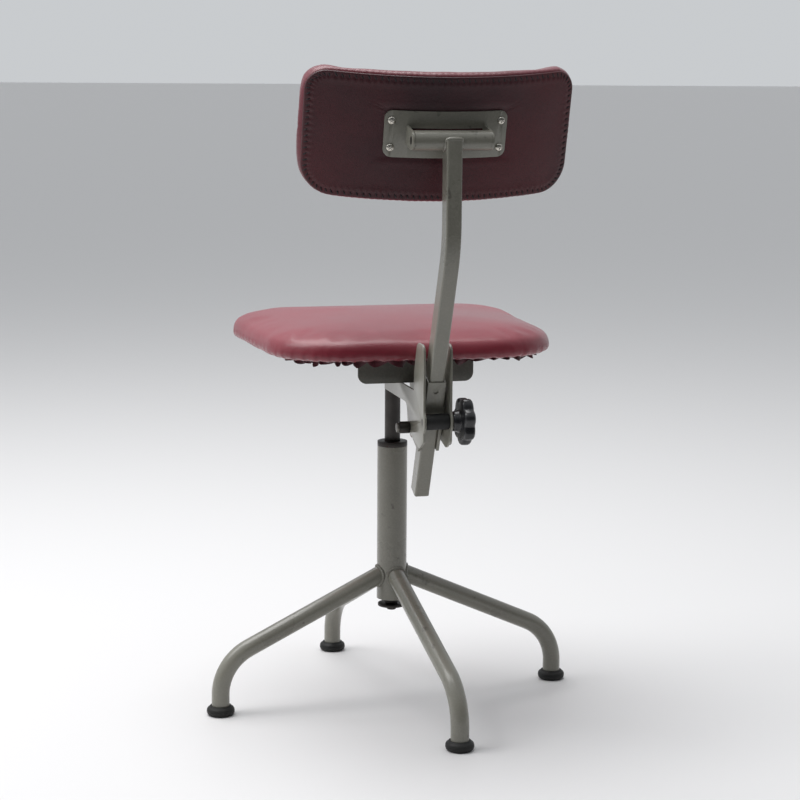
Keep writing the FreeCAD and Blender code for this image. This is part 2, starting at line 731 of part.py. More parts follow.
def make_arm():
    """A rectangular tube: straight up its slope, one bend, then upright to the cross tube."""
    body = doc.addObject("PartDesign::Body", "arm_tube")
    path = new_sketch(body, "arm_path", "YZ_Plane")
    angle = math.radians(number("arm_lean"))
    bend = number("arm_bend")
    along = Vector(math.sin(angle), math.cos(angle), 0)
    foot = Vector(number("arm_foot_depth"), number("arm_foot_height"), 0) - along * number("arm_tail")
    rear = number("arm_rear")
    corner = foot + along * ((rear - foot.x) / along.x)
    run_in = bend * math.tan(angle / 2)
    bend_start = corner - along * run_in
    bend_end = corner + Vector(0, run_in, 0)
    top = Vector(rear, number("cross_height"), 0)
    centre = bend_end - Vector(bend, 0, 0)
    sloped = path.addGeometry(Part.LineSegment(foot, bend_start))
    circle = Part.Circle(centre, Vector(0, 0, 1), bend)
    arc = path.addGeometry(Part.ArcOfCircle(circle, -angle, 0))
    upright = path.addGeometry(Part.LineSegment(bend_end, top))
    lean_angle = "(arm_lean * 1deg)"
    foot_y = f"arm_foot_depth - arm_tail * sin{lean_angle}"
    foot_z = f"arm_foot_height - arm_tail * cos{lean_angle}"
    constrain(path, "DistanceX", -1, 1, sloped, 1, foot.x, size=foot_y)
    constrain(path, "DistanceY", -1, 1, sloped, 1, foot.y, size=foot_z)
    constrain(path, "Angle", sloped, math.pi / 2 - angle, size="90deg - arm_lean * 1deg")
    constrain(path, "Tangent", sloped, 2, arc, 1)
    constrain(path, "Tangent", arc, 2, upright, 1)
    constrain(path, "Vertical", upright)
    constrain(path, "Radius", arc, bend, size="arm_bend")
    constrain(path, "DistanceX", -1, 1, upright, 2, top.x, size="arm_rear")
    constrain(path, "DistanceY", -1, 1, upright, 2, top.y, size="cross_height")
    doc.recompute()
    section = body.newObject("Sketcher::SketchObject", "arm_section")
    section.AttachmentSupport = [(path, "Edge1")]
    section.MapMode = "NormalToEdge"
    section.MapPathParameter = 0
    doc.recompute()
    across_is_x = abs(section.Placement.Rotation.multVec(Vector(1, 0, 0)).x) > abs(
        section.Placement.Rotation.multVec(Vector(0, 1, 0)).x)
    for inset in ("0", "arm_wall"):
        width, depth = f"arm_width / 2 - {inset}", f"arm_depth / 2 - {inset}"
        half_x, half_y = (width, depth) if across_is_x else (depth, width)
        rectangle(section, half_x, half_y)
    pipe = body.newObject("PartDesign::AdditivePipe", "arm_pipe")
    pipe.Profile = (section, [""])
    pipe.Spine = (path, ["Edge1", "Edge2", "Edge3"])
    doc.recompute()
    half_width = number("arm_width / 2")

    def is_outer_run(edge):
        ends = [vertex.Point for vertex in edge.Vertexes]
        outside = all(near(abs(end.x), half_width) for end in ends)
        at_foot = all(near((Vector(0, end.y, end.z) - Vector(0, foot.x, foot.y)).dot(
            Vector(0, along.x, along.y)), 0) for end in ends)
        at_top = all(near(end.z, top.y) for end in ends)
        return outside and not at_foot and not at_top

    fillet(body, "arm_rounds", pipe, is_outer_run, "arm_corner")
    length = "cross_length"
    place_cope = (f"-{length} / 2", "cross_depth", "cross_height")
    cope = cylinder("arm_cope", "cross_radius", length, *place_cope, ALONG_X)
    crown = box("arm_crown", "2 * arm_width", "2 * arm_depth", "cross_radius", "-arm_width",
                "cross_depth - arm_depth", "cross_height")
    keep("back_arm", cut("arm", body, cope, crown))


def rectangle(sketch, half_x, half_y):
    """A rectangle about the sketch's origin, held by its half widths."""
    across, up = number(half_x), number(half_y)
    signs = ((1, 1), (-1, 1), (-1, -1), (1, -1))
    spots = [Vector(sx * across, sy * up, 0) for sx, sy in signs]
    lines = [
        sketch.addGeometry(Part.LineSegment(here, there))
        for here, there in zip(spots, spots[1:] + spots[:1])
    ]
    for index, line in enumerate(lines):
        constrain(sketch, "Coincident", lines[index - 1], 2, line, 1)
    for line in (lines[0], lines[2]):
        constrain(sketch, "Horizontal", line)
    for line in (lines[1], lines[3]):
        constrain(sketch, "Vertical", line)
    constrain(sketch, "Symmetric", lines[0], 1, lines[2], 1, -1, 1)
    constrain(sketch, "DistanceX", lines[1], 1, lines[0], 1, 2 * across, size=f"2 * ({half_x})")
    constrain(sketch, "DistanceY", lines[2], 1, lines[0], 2, 2 * up, size=f"2 * ({half_y})")


def make_cross_tube():
    at_axis = ("cross_depth", "cross_height", ALONG_X)
    start = "-cross_length / 2"
    inner = "cross_radius - cross_wall"
    tube = cylinder("cross_skin", "cross_radius", "cross_length", start, *at_axis)
    hollow = cylinder("cross_hollow", inner, "cross_length", start, *at_axis)
    keep("cross_tube", cut("cross", tube, hollow))
    for side, x in (("left", "cross_length / 2 - cross_bush_length"), ("right", start)):
        bush = cylinder(f"cross_bush_{side}_blank", f"{inner} - press_gap", "cross_bush_length", x, *at_axis)
        bore_radius = "rod_radius + running_gap"
        bore = cylinder(f"cross_bush_{side}_bore", bore_radius, "cross_bush_length", x, *at_axis)
        keep(f"cross_bush_{side}", cut(f"cross_bush_{side}_cut", bush, bore))


def back_frame(piece):
    """From the backrest's own frame, about the cross tube's axis, to the chair's."""
    return lay(piece, ("0", "cross_depth", "cross_height"), (1, 0, 0), "-back_tilt")


def curved_layer(name, front, rear):
    """A cylinder wall about the backrest's centre of curvature, between two radii."""
    height = "2 * (back_top + back_bottom)"
    spot = ("0", "-(back_offset + back_radius)", "-(back_top + back_bottom)")
    outer = cylinder(name + "_rear", rear, height, *spot)
    inner = cylinder(name + "_front", front, height, *spot)
    return cut(name + "_wall", outer, inner)


def back_outline(name, inset):
    """The backrest's outline seen from behind, drawn in by an inset and deep enough for the curve."""
    depth = "back_radius"
    along_y = Vector(0, 1, 0)
    middle = number("(back_top - back_bottom) / 2")
    corners = [
        (lambda e: e.CenterOfMass.z > middle, f"back_top_corner - ({inset})"),
        (lambda e: e.CenterOfMass.z < middle, f"back_bottom_corner - ({inset})"),
    ]
    return rounded_block(
        name, f"back_width - 2 * ({inset})", depth, f"back_top + back_bottom - 2 * ({inset})",
        f"-back_width / 2 + {inset}", "-back_radius + back_offset", f"-back_bottom + {inset}",
        corners, along_y,
    )


def make_backrest():
    board_front = "back_radius - back_cover - back_board"
    board_rear = "back_radius - back_cover"
    pad_wall = curved_layer("pad", "back_radius - back_thickness", "back_radius")
    pocket_wall = curved_layer("pocket", board_front, "back_radius + back_cover")
    pocket = common("pocket_shape", pocket_wall, back_outline("pocket_outline", "back_inset"))
    pad = common("pad_shape", pad_wall, back_outline("pad_outline", "0"))
    keep("back_pad", back_frame(cut("pad_cut", pad, pocket)))

    screw_holes = back_screw_rods("hole", "back_screw_radius + press_gap")
    board_wall = curved_layer("board_layer", board_front, board_rear)
    board = common("back_board_shape", board_wall, back_outline("back_board_outline", "back_inset"))
    keep("back_board", back_frame(cut("back_board_cut", board, *screw_holes)))

    cover_holes = back_screw_rods("cover_hole", "back_screw_radius + press_gap")
    cover_wall = curved_layer("cover_layer", board_rear, "back_radius")
    cover = common("cover_shape", cover_wall, back_outline("cover_outline", "back_inset"))
    keep("back_cover", back_frame(cut("cover_cut", cover, *cover_holes)))


def back_screw_rods(name, radius, start="-back_screw_bite", length=None):
    """Four rods square to the back plate, at its screws."""
    rods = []
    length = length or "back_screw_bite + back_plate_thickness + back_screw_head_height"
    for index, (side, level) in enumerate(((1, 1), (-1, 1), (1, -1), (-1, -1))):
        rod = cylinder(f"{name}{index}", radius, length, turn=ALONG_Y)
        swing = f"asin({side} * back_screw_x / back_radius)"
        from_centre = f"(back_radius + {start})"
        x = f"{side} * back_screw_x / back_radius * {from_centre}"
        y = f"{from_centre} * cos({swing}) - (back_offset + back_radius)"
        z = f"{level} * back_screw_z"
        turn = f"rotation(vector(0; 0; 1); -{swing}) * rotation(vector(1; 0; 0); -90)"
        rod.setExpression("Placement", bound(f"placement(vector({x}; {y}; {z}); {turn})"))
        rods.append(rod)
    return rods


def make_back_plate():
    wall = curved_layer("plate_layer", "back_radius", "back_radius + back_plate_thickness")
    outline_block = rounded_block(
        "plate_outline", "back_plate_width", "back_radius", "back_plate_height",
        "-back_plate_width / 2", "-back_radius + back_offset", "-back_plate_height / 2",
        [(any_edge, "back_plate_corner")], Vector(0, 1, 0),
    )
    sheet_metal = common("plate_sheet", wall, outline_block)
    ears = []
    ear_start = "cross_length / 2 + slide_gap"
    middle = "(back_radius + back_plate_thickness / 2)"
    root = f"(back_offset + back_radius - sqrt({middle}^2 - ({ear_start} + back_ear_thickness)^2))"
    for side, x in (("left", ear_start), ("right", f"-({ear_start}) - back_ear_thickness")):
        eye = cylinder(f"ear_eye_{side}", "back_ear_radius", "back_ear_thickness", x, turn=ALONG_X)
        web = box(
            f"ear_web_{side}", "back_ear_thickness", root, "2 * back_ear_radius",
            x, f"-{root}", "-back_ear_radius",
        )
        ears += [eye, web]
    span = "cross_length + 2 * slide_gap + 2 * back_ear_thickness"
    rod_hole = cylinder("ear_hole", "rod_radius + press_gap", span, f"-({span}) / 2", turn=ALONG_X)
    window = box(
        "ear_window", f"2 * ({ear_start})", "3 * back_plate_thickness", "back_window_height",
        f"-({ear_start})", "-back_offset - back_plate_thickness", "-back_window_height / 2",
    )
    holes = back_screw_rods("plate_hole", "back_screw_radius + press_gap")
    blank = fuse("back_plate_blank", sheet_metal, *ears)
    keep("back_plate", back_frame(cut("back_plate_cut", blank, window, rod_hole, *holes)))

    at_axis = ("cross_depth", "cross_height", ALONG_X)
    keep("pivot_rod", cylinder("rod", "rod_radius", span, f"-({span}) / 2", *at_axis))

    shank_length = "back_screw_bite + back_plate_thickness"
    shanks = back_screw_rods("screw_shank", "back_screw_radius", length=shank_length)
    heads = back_screw_rods("screw_head", "back_screw_head", "back_plate_thickness", "back_screw_head_height")
    screws = [fuse(f"back_screw{n}", shank, head) for n, (shank, head) in enumerate(zip(shanks, heads))]
    keep("plate_screws", back_frame(group("back_screw_set", screws)))


def check():
    """Every object up to date, and every piece one or more closed valid solids."""
    failed = [each.Name for each in doc.Objects if {"Invalid", "Error"} & set(each.State)]
    if failed:
        raise RuntimeError("these objects did not rebuild: " + ", ".join(failed))
    for label, piece in finished.items():
        shape = piece.Shape
        if shape.isNull() or not shape.isValid() or not shape.Solids or shape.Volume <= 0:
            raise RuntimeError(label + " has no valid solid")
    if len(finished) > MAX_NODES:
        raise RuntimeError("too many pieces")


def main():
    make_column()
    make_legs()
    make_spindle()
    make_seat()
    make_bracket()
    make_star_knob()
    make_wing_nut()
    make_holder()
    make_arm()
    make_cross_tube()
    make_backrest()
    make_back_plate()
    doc.recompute()
    check()
    os.makedirs("parts", exist_ok=True)
    for label, piece in finished.items():
        piece.Shape.exportStep(f"parts/{label}.step")
        size = piece.Shape.BoundBox
        print(f"{label:24s} solids {len(piece.Shape.Solids)}  volume {piece.Shape.Volume:12.1f}"
              f"  X {size.XMin:7.1f} {size.XMax:7.1f}  Y {size.YMin:7.1f} {size.YMax:7.1f}"
              f"  Z {size.ZMin:7.1f} {size.ZMax:7.1f}")


main()
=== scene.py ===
import json
import math
import random

import bpy
from mathutils import Matrix, Vector, noise
from mathutils.kdtree import KDTree


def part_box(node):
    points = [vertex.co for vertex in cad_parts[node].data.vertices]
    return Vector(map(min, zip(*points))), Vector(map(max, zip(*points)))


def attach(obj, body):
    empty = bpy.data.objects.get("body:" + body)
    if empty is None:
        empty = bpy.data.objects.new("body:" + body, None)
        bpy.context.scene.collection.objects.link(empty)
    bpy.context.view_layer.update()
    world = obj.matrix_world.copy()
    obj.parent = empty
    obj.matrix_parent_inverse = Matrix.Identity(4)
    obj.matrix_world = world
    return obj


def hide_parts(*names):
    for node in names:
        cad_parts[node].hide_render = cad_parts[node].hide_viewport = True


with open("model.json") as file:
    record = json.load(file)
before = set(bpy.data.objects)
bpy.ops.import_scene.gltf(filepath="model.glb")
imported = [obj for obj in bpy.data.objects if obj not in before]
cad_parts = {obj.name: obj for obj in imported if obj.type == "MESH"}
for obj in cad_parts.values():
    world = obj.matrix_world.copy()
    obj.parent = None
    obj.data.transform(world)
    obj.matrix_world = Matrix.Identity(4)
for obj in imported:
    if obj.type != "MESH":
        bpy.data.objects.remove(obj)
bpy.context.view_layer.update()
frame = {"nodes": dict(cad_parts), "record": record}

# The drafting chair's looks, round its fixed metal frame. Metres, +Z up, -Y the sitter's front.


def clearPick():
    if bpy.context.object and bpy.context.object.mode != "OBJECT":
        bpy.ops.object.mode_set(mode="OBJECT")
    bpy.ops.object.select_all(action="DESELECT")


def pick(piece):
    clearPick()
    piece.select_set(True)
    bpy.context.view_layer.objects.active = piece


def settle(piece, name=None):
    # Puts the piece's place into its mesh and gives it its name.
    pick(piece)
    bpy.ops.object.transform_apply(location=True, rotation=True, scale=True)
    if name:
        piece.name = name
        piece.data.name = name
    return piece


def modify(piece, kind, **settings):
    modifier = piece.modifiers.new(kind.title(), kind)
    for setting, value in settings.items():
        setattr(modifier, setting, value)
    pick(piece)
    bpy.ops.object.modifier_apply(modifier=modifier.name)
    return piece


def join(pieces, name):
    pick(pieces[0])
    for piece in pieces:
        piece.select_set(True)
    bpy.ops.object.join()
    return settle(pieces[0], name)


def smooth(piece, angle=35):
    pick(piece)
    bpy.ops.object.shade_smooth_by_angle(angle=math.radians(angle))
    return piece


def outwards(piece, merge=1e-6):
    # Merges doubles and turns every face outwards.
    pick(piece)
    bpy.ops.object.mode_set(mode="EDIT")
    bpy.ops.mesh.select_all(action="SELECT")
    bpy.ops.mesh.remove_doubles(threshold=merge)
    bpy.ops.mesh.normals_make_consistent(inside=False)
    bpy.ops.object.mode_set(mode="OBJECT")
    return piece


def finishPiece(piece, body, slot, *nodes, finish=None):
    # Rides the piece on its body, gives it its finish and hides the nodes that it stands for.
    piece.data.materials.clear()
    piece.data.materials.append(finishes[finish or slotFinishes[slot]])
    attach(piece, body)
    if nodes:
        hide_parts(*nodes)
    return piece


def middleOf(node):
    low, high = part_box(node)
    return (low + high) / 2


def sizeOf(node):
    low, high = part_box(node)
    return high - low


def newPiece(name, spots, faces=(), edges=()):
    mesh = bpy.data.meshes.new(name)
    mesh.from_pydata([tuple(spot) for spot in spots], edges, faces)
    piece = bpy.data.objects.new(name, mesh)
    bpy.context.scene.collection.objects.link(piece)
    return piece


def profilePiece(name, profile):
    # An open line of (radius, height) points, ready to be turned about Z.
    edges = [(n, n + 1) for n in range(len(profile) - 1)]
    return newPiece(name, [(radius, 0, height) for radius, height in profile], edges=edges)


def lathe(name, profile, axis="Z", at=(0, 0, 0), steps=48):
    # Spins a profile of (radius, height) points about an axis through a point.
    piece = profilePiece(name, profile)
    pick(piece)
    bpy.ops.object.mode_set(mode="EDIT")
    bpy.ops.mesh.select_all(action="SELECT")
    bpy.ops.mesh.spin(steps=steps, angle=math.tau, center=(0, 0, 0), axis=(0, 0, 1))
    bpy.ops.object.mode_set(mode="OBJECT")
    outwards(piece)
    lean = {"Z": 0, "X": 90, "-X": -90}[axis]
    piece.data.transform(Matrix.Translation(Vector(at)) @ Matrix.Rotation(math.radians(lean), 4, "Y"))
    return smooth(piece, 40)


def ringFaces(rows, count, closed=True):
    # Faces between rings of vertices, with both ends closed or left open.
    faces = []
    for ring in range(rows - 1):
        for n in range(count):
            here, there = ring * count + n, ring * count + (n + 1) % count
            faces.append((here, there, there + count, here + count))
    if closed:
        faces += [tuple(range(count)), tuple(reversed(range((rows - 1) * count, rows * count)))]
    return faces


def fitBox(piece, low, high):
    # Stretches the piece along each axis to fill the box exactly.
    spots = [vertex.co for vertex in piece.data.vertices]
    for axis in range(3):
        least, most = min(spot[axis] for spot in spots), max(spot[axis] for spot in spots)
        scale = (high[axis] - low[axis]) / (most - least)
        for spot in spots:
            spot[axis] = low[axis] + (spot[axis] - least) * scale


def reshape(piece, shift):
    # Moves every vertex to shift(place, normal), with all the normals taken before the first move.
    kept = [(vertex.co.copy(), vertex.normal.copy()) for vertex in piece.data.vertices]
    for vertex, (spot, normal) in zip(piece.data.vertices, kept):
        vertex.co = shift(spot, normal)


def sweep(line, thickness, facing, sides):
    # Rings of vertices round a line of spots, each with its own thickness and facing.
    spots = []
    for index, spot in enumerate(line):
        ahead = (line[min(index + 1, len(line) - 1)] - line[max(index - 1, 0)]).normalized()
        side = ahead.cross(facing[index]).normalized()
        over = side.cross(ahead).normalized()
        for corner in range(sides):
            turn = math.tau * corner / sides
            spots.append(spot + (side * math.cos(turn) + over * math.sin(turn)) * thickness[index])
    return spots


def findNear(spots):
    # A tree that finds the nearest of some flat spots.
    tree = KDTree(len(spots))
    for index, spot in enumerate(spots):
        tree.insert((spot[0], spot[1], 0), index)
    tree.balance()
    return tree


cornerSteps = 32


def roundedPath(halfFront, halfRear, front, rear, frontCorner, rearCorner, spacing):
    # Evenly spaced (x, y, outward x, outward y) round a rounded outline that tapers to the rear.
    outlineSpots = []
    for signX, y, half, radius, start in (
        (1, front, halfFront, frontCorner, -90), (1, rear, halfRear, rearCorner, 0),
        (-1, rear, halfRear, rearCorner, 90), (-1, front, halfFront, frontCorner, 180),
    ):
        centreX = signX * (half - radius)
        centreY = y + radius if y == front else y - radius
        for step in range(cornerSteps + 1):
            angle = math.radians(start + 90 * step / cornerSteps)
            across, up = radius * math.cos(angle), radius * math.sin(angle)
            outlineSpots.append(Vector((centreX + across, centreY + up)))
    outlineSpots.append(outlineSpots[0])
    lengths = [0]
    for here, there in zip(outlineSpots, outlineSpots[1:]):
        lengths.append(lengths[-1] + (there - here).length)
    count = round(lengths[-1] / spacing)
    path, at = [], 0
    for n in range(count):
        along = lengths[-1] * n / count
        while lengths[at + 1] < along:
            at += 1
        share = (along - lengths[at]) / max(lengths[at + 1] - lengths[at], 1e-9)
        spot = outlineSpots[at].lerp(outlineSpots[at + 1], share)
        way = (outlineSpots[at + 1] - outlineSpots[at]).normalized()
        path.append((spot.x, spot.y, way.y, -way.x))
    return path


def group(name, inputs, outputs):
    # A shader node group with named sockets; returns it with its input and output nodes.
    tree = bpy.data.node_groups.new(name, "ShaderNodeTree")
    for socket, kind, value in inputs:
        made = tree.interface.new_socket(socket, in_out="INPUT", socket_type=kind)
        if value is not None:
            made.default_value = value
    for socket, kind in outputs:
        tree.interface.new_socket(socket, in_out="OUTPUT", socket_type=kind)
    return tree, tree.nodes.new("NodeGroupInput"), tree.nodes.new("NodeGroupOutput")


def setInputs(node, values):
    for socket, value in values.items():
        node.inputs[socket].default_value = value


def addNoise(tree, coordinates, scale, detail=4.0, rough=0.55, stretch=None):
    cloud = tree.nodes.new("ShaderNodeTexNoise")
    setInputs(cloud, {"Scale": scale, "Detail": detail, "Roughness": rough})
    if stretch:
        mapping = tree.nodes.new("ShaderNodeMapping")
        setInputs(mapping, {"Scale": stretch})
        tree.links.new(coordinates, mapping.inputs["Vector"])
        coordinates = mapping.outputs["Vector"]
    tree.links.new(coordinates, cloud.inputs["Vector"])
    return cloud.outputs["Fac"]


def addRange(tree, value, low, high, toLow=0.0, toHigh=1.0):
    ranged = tree.nodes.new("ShaderNodeMapRange")
    ranged.interpolation_type = "SMOOTHSTEP"
    setInputs(ranged, {"From Min": low, "From Max": high, "To Min": toLow, "To Max": toHigh})
    tree.links.new(value, ranged.inputs["Value"])
    return ranged.outputs["Result"]


def addMath(tree, operation, first, second):
    step = tree.nodes.new("ShaderNodeMath")
    step.operation = operation
    for socket, value in zip(step.inputs, (first, second)):
        if isinstance(value, (int, float)):
            socket.default_value = value
        else:
            tree.links.new(value, socket)
    return step.outputs[0]


def addMix(tree, share, first, second):
    mix = tree.nodes.new("ShaderNodeMix")
    mix.data_type = "RGBA"
    for index, value in ((0, share), (6, first), (7, second)):
        if isinstance(value, (int, float)):
            mix.inputs[index].default_value = value
        elif isinstance(value, (tuple, list)):
            mix.inputs[index].default_value = (*value, 1)
        else:
            tree.links.new(value, mix.inputs[index])
    return mix.outputs[2]


def buildAgeGroup():
    # Slow clouds of tone and small worn spots, for everything that has been handled for years.
    tree, given, put = group(
        "surfaceAge",
        (
            ("Vector", "NodeSocketVector", None),
            ("Cloud Scale", "NodeSocketFloat", 9.0),
            ("Spot Scale", "NodeSocketFloat", 60.0),
        ),
        (("Cloud", "NodeSocketFloat"), ("Spots", "NodeSocketFloat")),
    )
    for scaleName, outName, detail, low, high in (
        ("Cloud Scale", "Cloud", 5.0, 0.3, 0.7), ("Spot Scale", "Spots", 3.0, 0.66, 0.74),
    ):
        cloud = tree.nodes.new("ShaderNodeTexNoise")
        cloud.inputs["Detail"].default_value = detail
        tree.links.new(given.outputs["Vector"], cloud.inputs["Vector"])
        tree.links.new(given.outputs[scaleName], cloud.inputs["Scale"])
        tree.links.new(addRange(tree, cloud.outputs["Fac"], low, high), put.inputs[outName])
    return tree


def buildGrainGroup():
    # Fine embossed grain of vinyl and leather: cells with soft creases between them.
    tree, given, put = group(
        "hideGrain",
        (
            ("Vector", "NodeSocketVector", None),
            ("Cells", "NodeSocketFloat", 700.0),
            ("Creases", "NodeSocketFloat", 120.0),
        ),
        (("Height", "NodeSocketFloat"), ("Mask", "NodeSocketFloat")),
    )
    cells = tree.nodes.new("ShaderNodeTexVoronoi")
    cells.feature = "DISTANCE_TO_EDGE"
    tree.links.new(given.outputs["Vector"], cells.inputs["Vector"])
    tree.links.new(given.outputs["Cells"], cells.inputs["Scale"])
    pits = addRange(tree, cells.outputs["Distance"], 0.0, 0.22)
    folds = tree.nodes.new("ShaderNodeTexNoise")
    folds.inputs["Detail"].default_value = 6.0
    tree.links.new(given.outputs["Vector"], folds.inputs["Vector"])
    tree.links.new(given.outputs["Creases"], folds.inputs["Scale"])
    creased = addMath(tree, "MULTIPLY", folds.outputs["Fac"], 0.9)
    height = addMath(tree, "ADD", addMath(tree, "MULTIPLY", pits, 0.6), creased)
    tree.links.new(height, put.inputs["Height"])
    tree.links.new(pits, put.inputs["Mask"])
    return tree


def newFinish(name):
    material = bpy.data.materials.new(name)
    material.use_nodes = True
    tree = material.node_tree
    shader = tree.nodes["Principled BSDF"]
    coordinates = tree.nodes.new("ShaderNodeTexCoord").outputs["Object"]
    return material, tree, shader, coordinates


def useGroup(tree, kind, coordinates, **values):
    node = tree.nodes.new("ShaderNodeGroup")
    node.node_tree = kind
    tree.links.new(coordinates, node.inputs["Vector"])
    setInputs(node, values)
    return node


def addBump(tree, shader, height, strength, distance):
    bump = tree.nodes.new("ShaderNodeBump")
    setInputs(bump, {"Strength": strength, "Distance": distance})
    tree.links.new(height, bump.inputs["Height"])
    tree.links.new(bump.outputs["Normal"], shader.inputs["Normal"])


def addAge(tree, coordinates, look):
    # The slow clouds, the worn spots and the tone that the clouds mix.
    scales = {"Cloud Scale": look["clouds"], "Spot Scale": look["spots"]}
    age = useGroup(tree, surfaceAge, coordinates, **scales)
    clouds, spots = age.outputs["Cloud"], age.outputs["Spots"]
    return clouds, spots, addMix(tree, clouds, look["dark"], look["light"])


def roughen(tree, shader, pattern, change, least):
    rough = addMath(tree, "ADD", addMath(tree, "MULTIPLY", pattern, change), least)
    tree.links.new(rough, shader.inputs["Roughness"])


def enamel(name, look):
    # Old brushed-on or stoved enamel on steel: tone, dulled patches, chips and a faint orange peel.
    material, tree, shader, coordinates = newFinish(name)
    clouds, spots, tone = addAge(tree, coordinates, look)
    speckle = addNoise(tree, coordinates, 420.0, detail=2.0)
    tone = addMix(tree, addRange(tree, speckle, 0.35, 0.75, toHigh=0.22), tone, look["dust"])
    chip = addMath(tree, "MULTIPLY", spots, look["chipped"])
    tree.links.new(addMix(tree, chip, tone, look["bare"]), shader.inputs["Base Color"])
    roughen(tree, shader, clouds, look["dulling"], look["rough"])
    peel = addNoise(tree, coordinates, 260.0, detail=2.0)
    height = addMath(tree, "SUBTRACT", peel, addMath(tree, "MULTIPLY", chip, 1.5))
    addBump(tree, shader, height, strength=0.25, distance=0.0004)
    setInputs(shader, {"Coat Weight": look["coat"], "Coat Roughness": 0.18})
    return material


def plated(name, look):
    # Bright or dull metal with a direction to its marks.
    material, tree, shader, coordinates = newFinish(name)
    _clouds, spots, tone = addAge(tree, coordinates, {"clouds": 25.0, "spots": 140.0, **look})
    marks = addNoise(tree, coordinates, 300.0, detail=3.0, stretch=look["stretch"])
    tone = addMix(tree, addMath(tree, "MULTIPLY", spots, look["stained"]), tone, look["stain"])
    tree.links.new(tone, shader.inputs["Base Color"])
    roughen(tree, shader, marks, 0.22, look["rough"])
    addBump(tree, shader, marks, look["bump"], distance=0.0002)
    setInputs(shader, {"Metallic": look["metal"]})
    return material


def hide(name, look):
    # Vinyl or leather: embossed grain, soft creases, tone that shifts and rubbed high spots.
    material, tree, shader, coordinates = newFinish(name)
    clouds, spots, tone = addAge(tree, coordinates, look)
    grain = useGroup(tree, hideGrain, coordinates, Cells=look["cells"], Creases=look["creases"])
    tone = addMix(tree, addMath(tree, "MULTIPLY", spots, look["rubbed"]), tone, look["rub"])
    pit = addRange(tree, grain.outputs["Mask"], 0.0, 1.0, look["pits"], 0.0)
    tree.links.new(addMix(tree, pit, tone, look["pit"]), shader.inputs["Base Color"])
    roughen(tree, shader, clouds, look["dulling"], look["rough"])
    addBump(tree, shader, grain.outputs["Height"], look["bump"], distance=0.0006)
    setInputs(shader, {
        "Coat Weight": look["coat"], "Coat Roughness": look["coatRough"],
        "Specular IOR Level": look["specular"], "Sheen Weight": look["sheen"], "Sheen Roughness": 0.4,
    })
    return material


def moulded(name, look):
    # Moulded rubber or plastic, a little dusty in its low places.
    material, tree, shader, coordinates = newFinish(name)
    clouds, spots, tone = addAge(tree, coordinates, {"clouds": 35.0, "spots": 200.0, **look})
    dusted = addMath(tree, "MULTIPLY", spots, look["dusty"])
    tree.links.new(addMix(tree, dusted, tone, look["dust"]), shader.inputs["Base Color"])
    roughen(tree, shader, clouds, 0.15, look["rough"])
    texture = addNoise(tree, coordinates, look["texture"], detail=3.0)
    addBump(tree, shader, texture, look["bump"], distance=0.0003)
    setInputs(shader, {"Specular IOR Level": 0.35, "Coat Weight": look["coat"], "Coat Roughness": 0.15})
    return material


def plywood(name, look):
    material, tree, shader, coordinates = newFinish(name)
    grain = addNoise(tree, coordinates, 60.0, detail=6.0, stretch=(1.0, 14.0, 14.0))
    pores = addNoise(tree, coordinates, 500.0, detail=3.0, stretch=(0.15, 3.0, 3.0))
    tone = addMix(tree, addRange(tree, grain, 0.3, 0.7), look["dark"], look["light"])
    tone = addMix(tree, addRange(tree, pores, 0.6, 0.75, toHigh=0.5), tone, look["pore"])
    tree.links.new(tone, shader.inputs["Base Color"])
    setInputs(shader, {"Roughness": look["rough"]})
    addBump(tree, shader, pores, strength=0.3, distance=0.0003)
    return material


surfaceAge = buildAgeGroup()
hideGrain = buildGrainGroup()

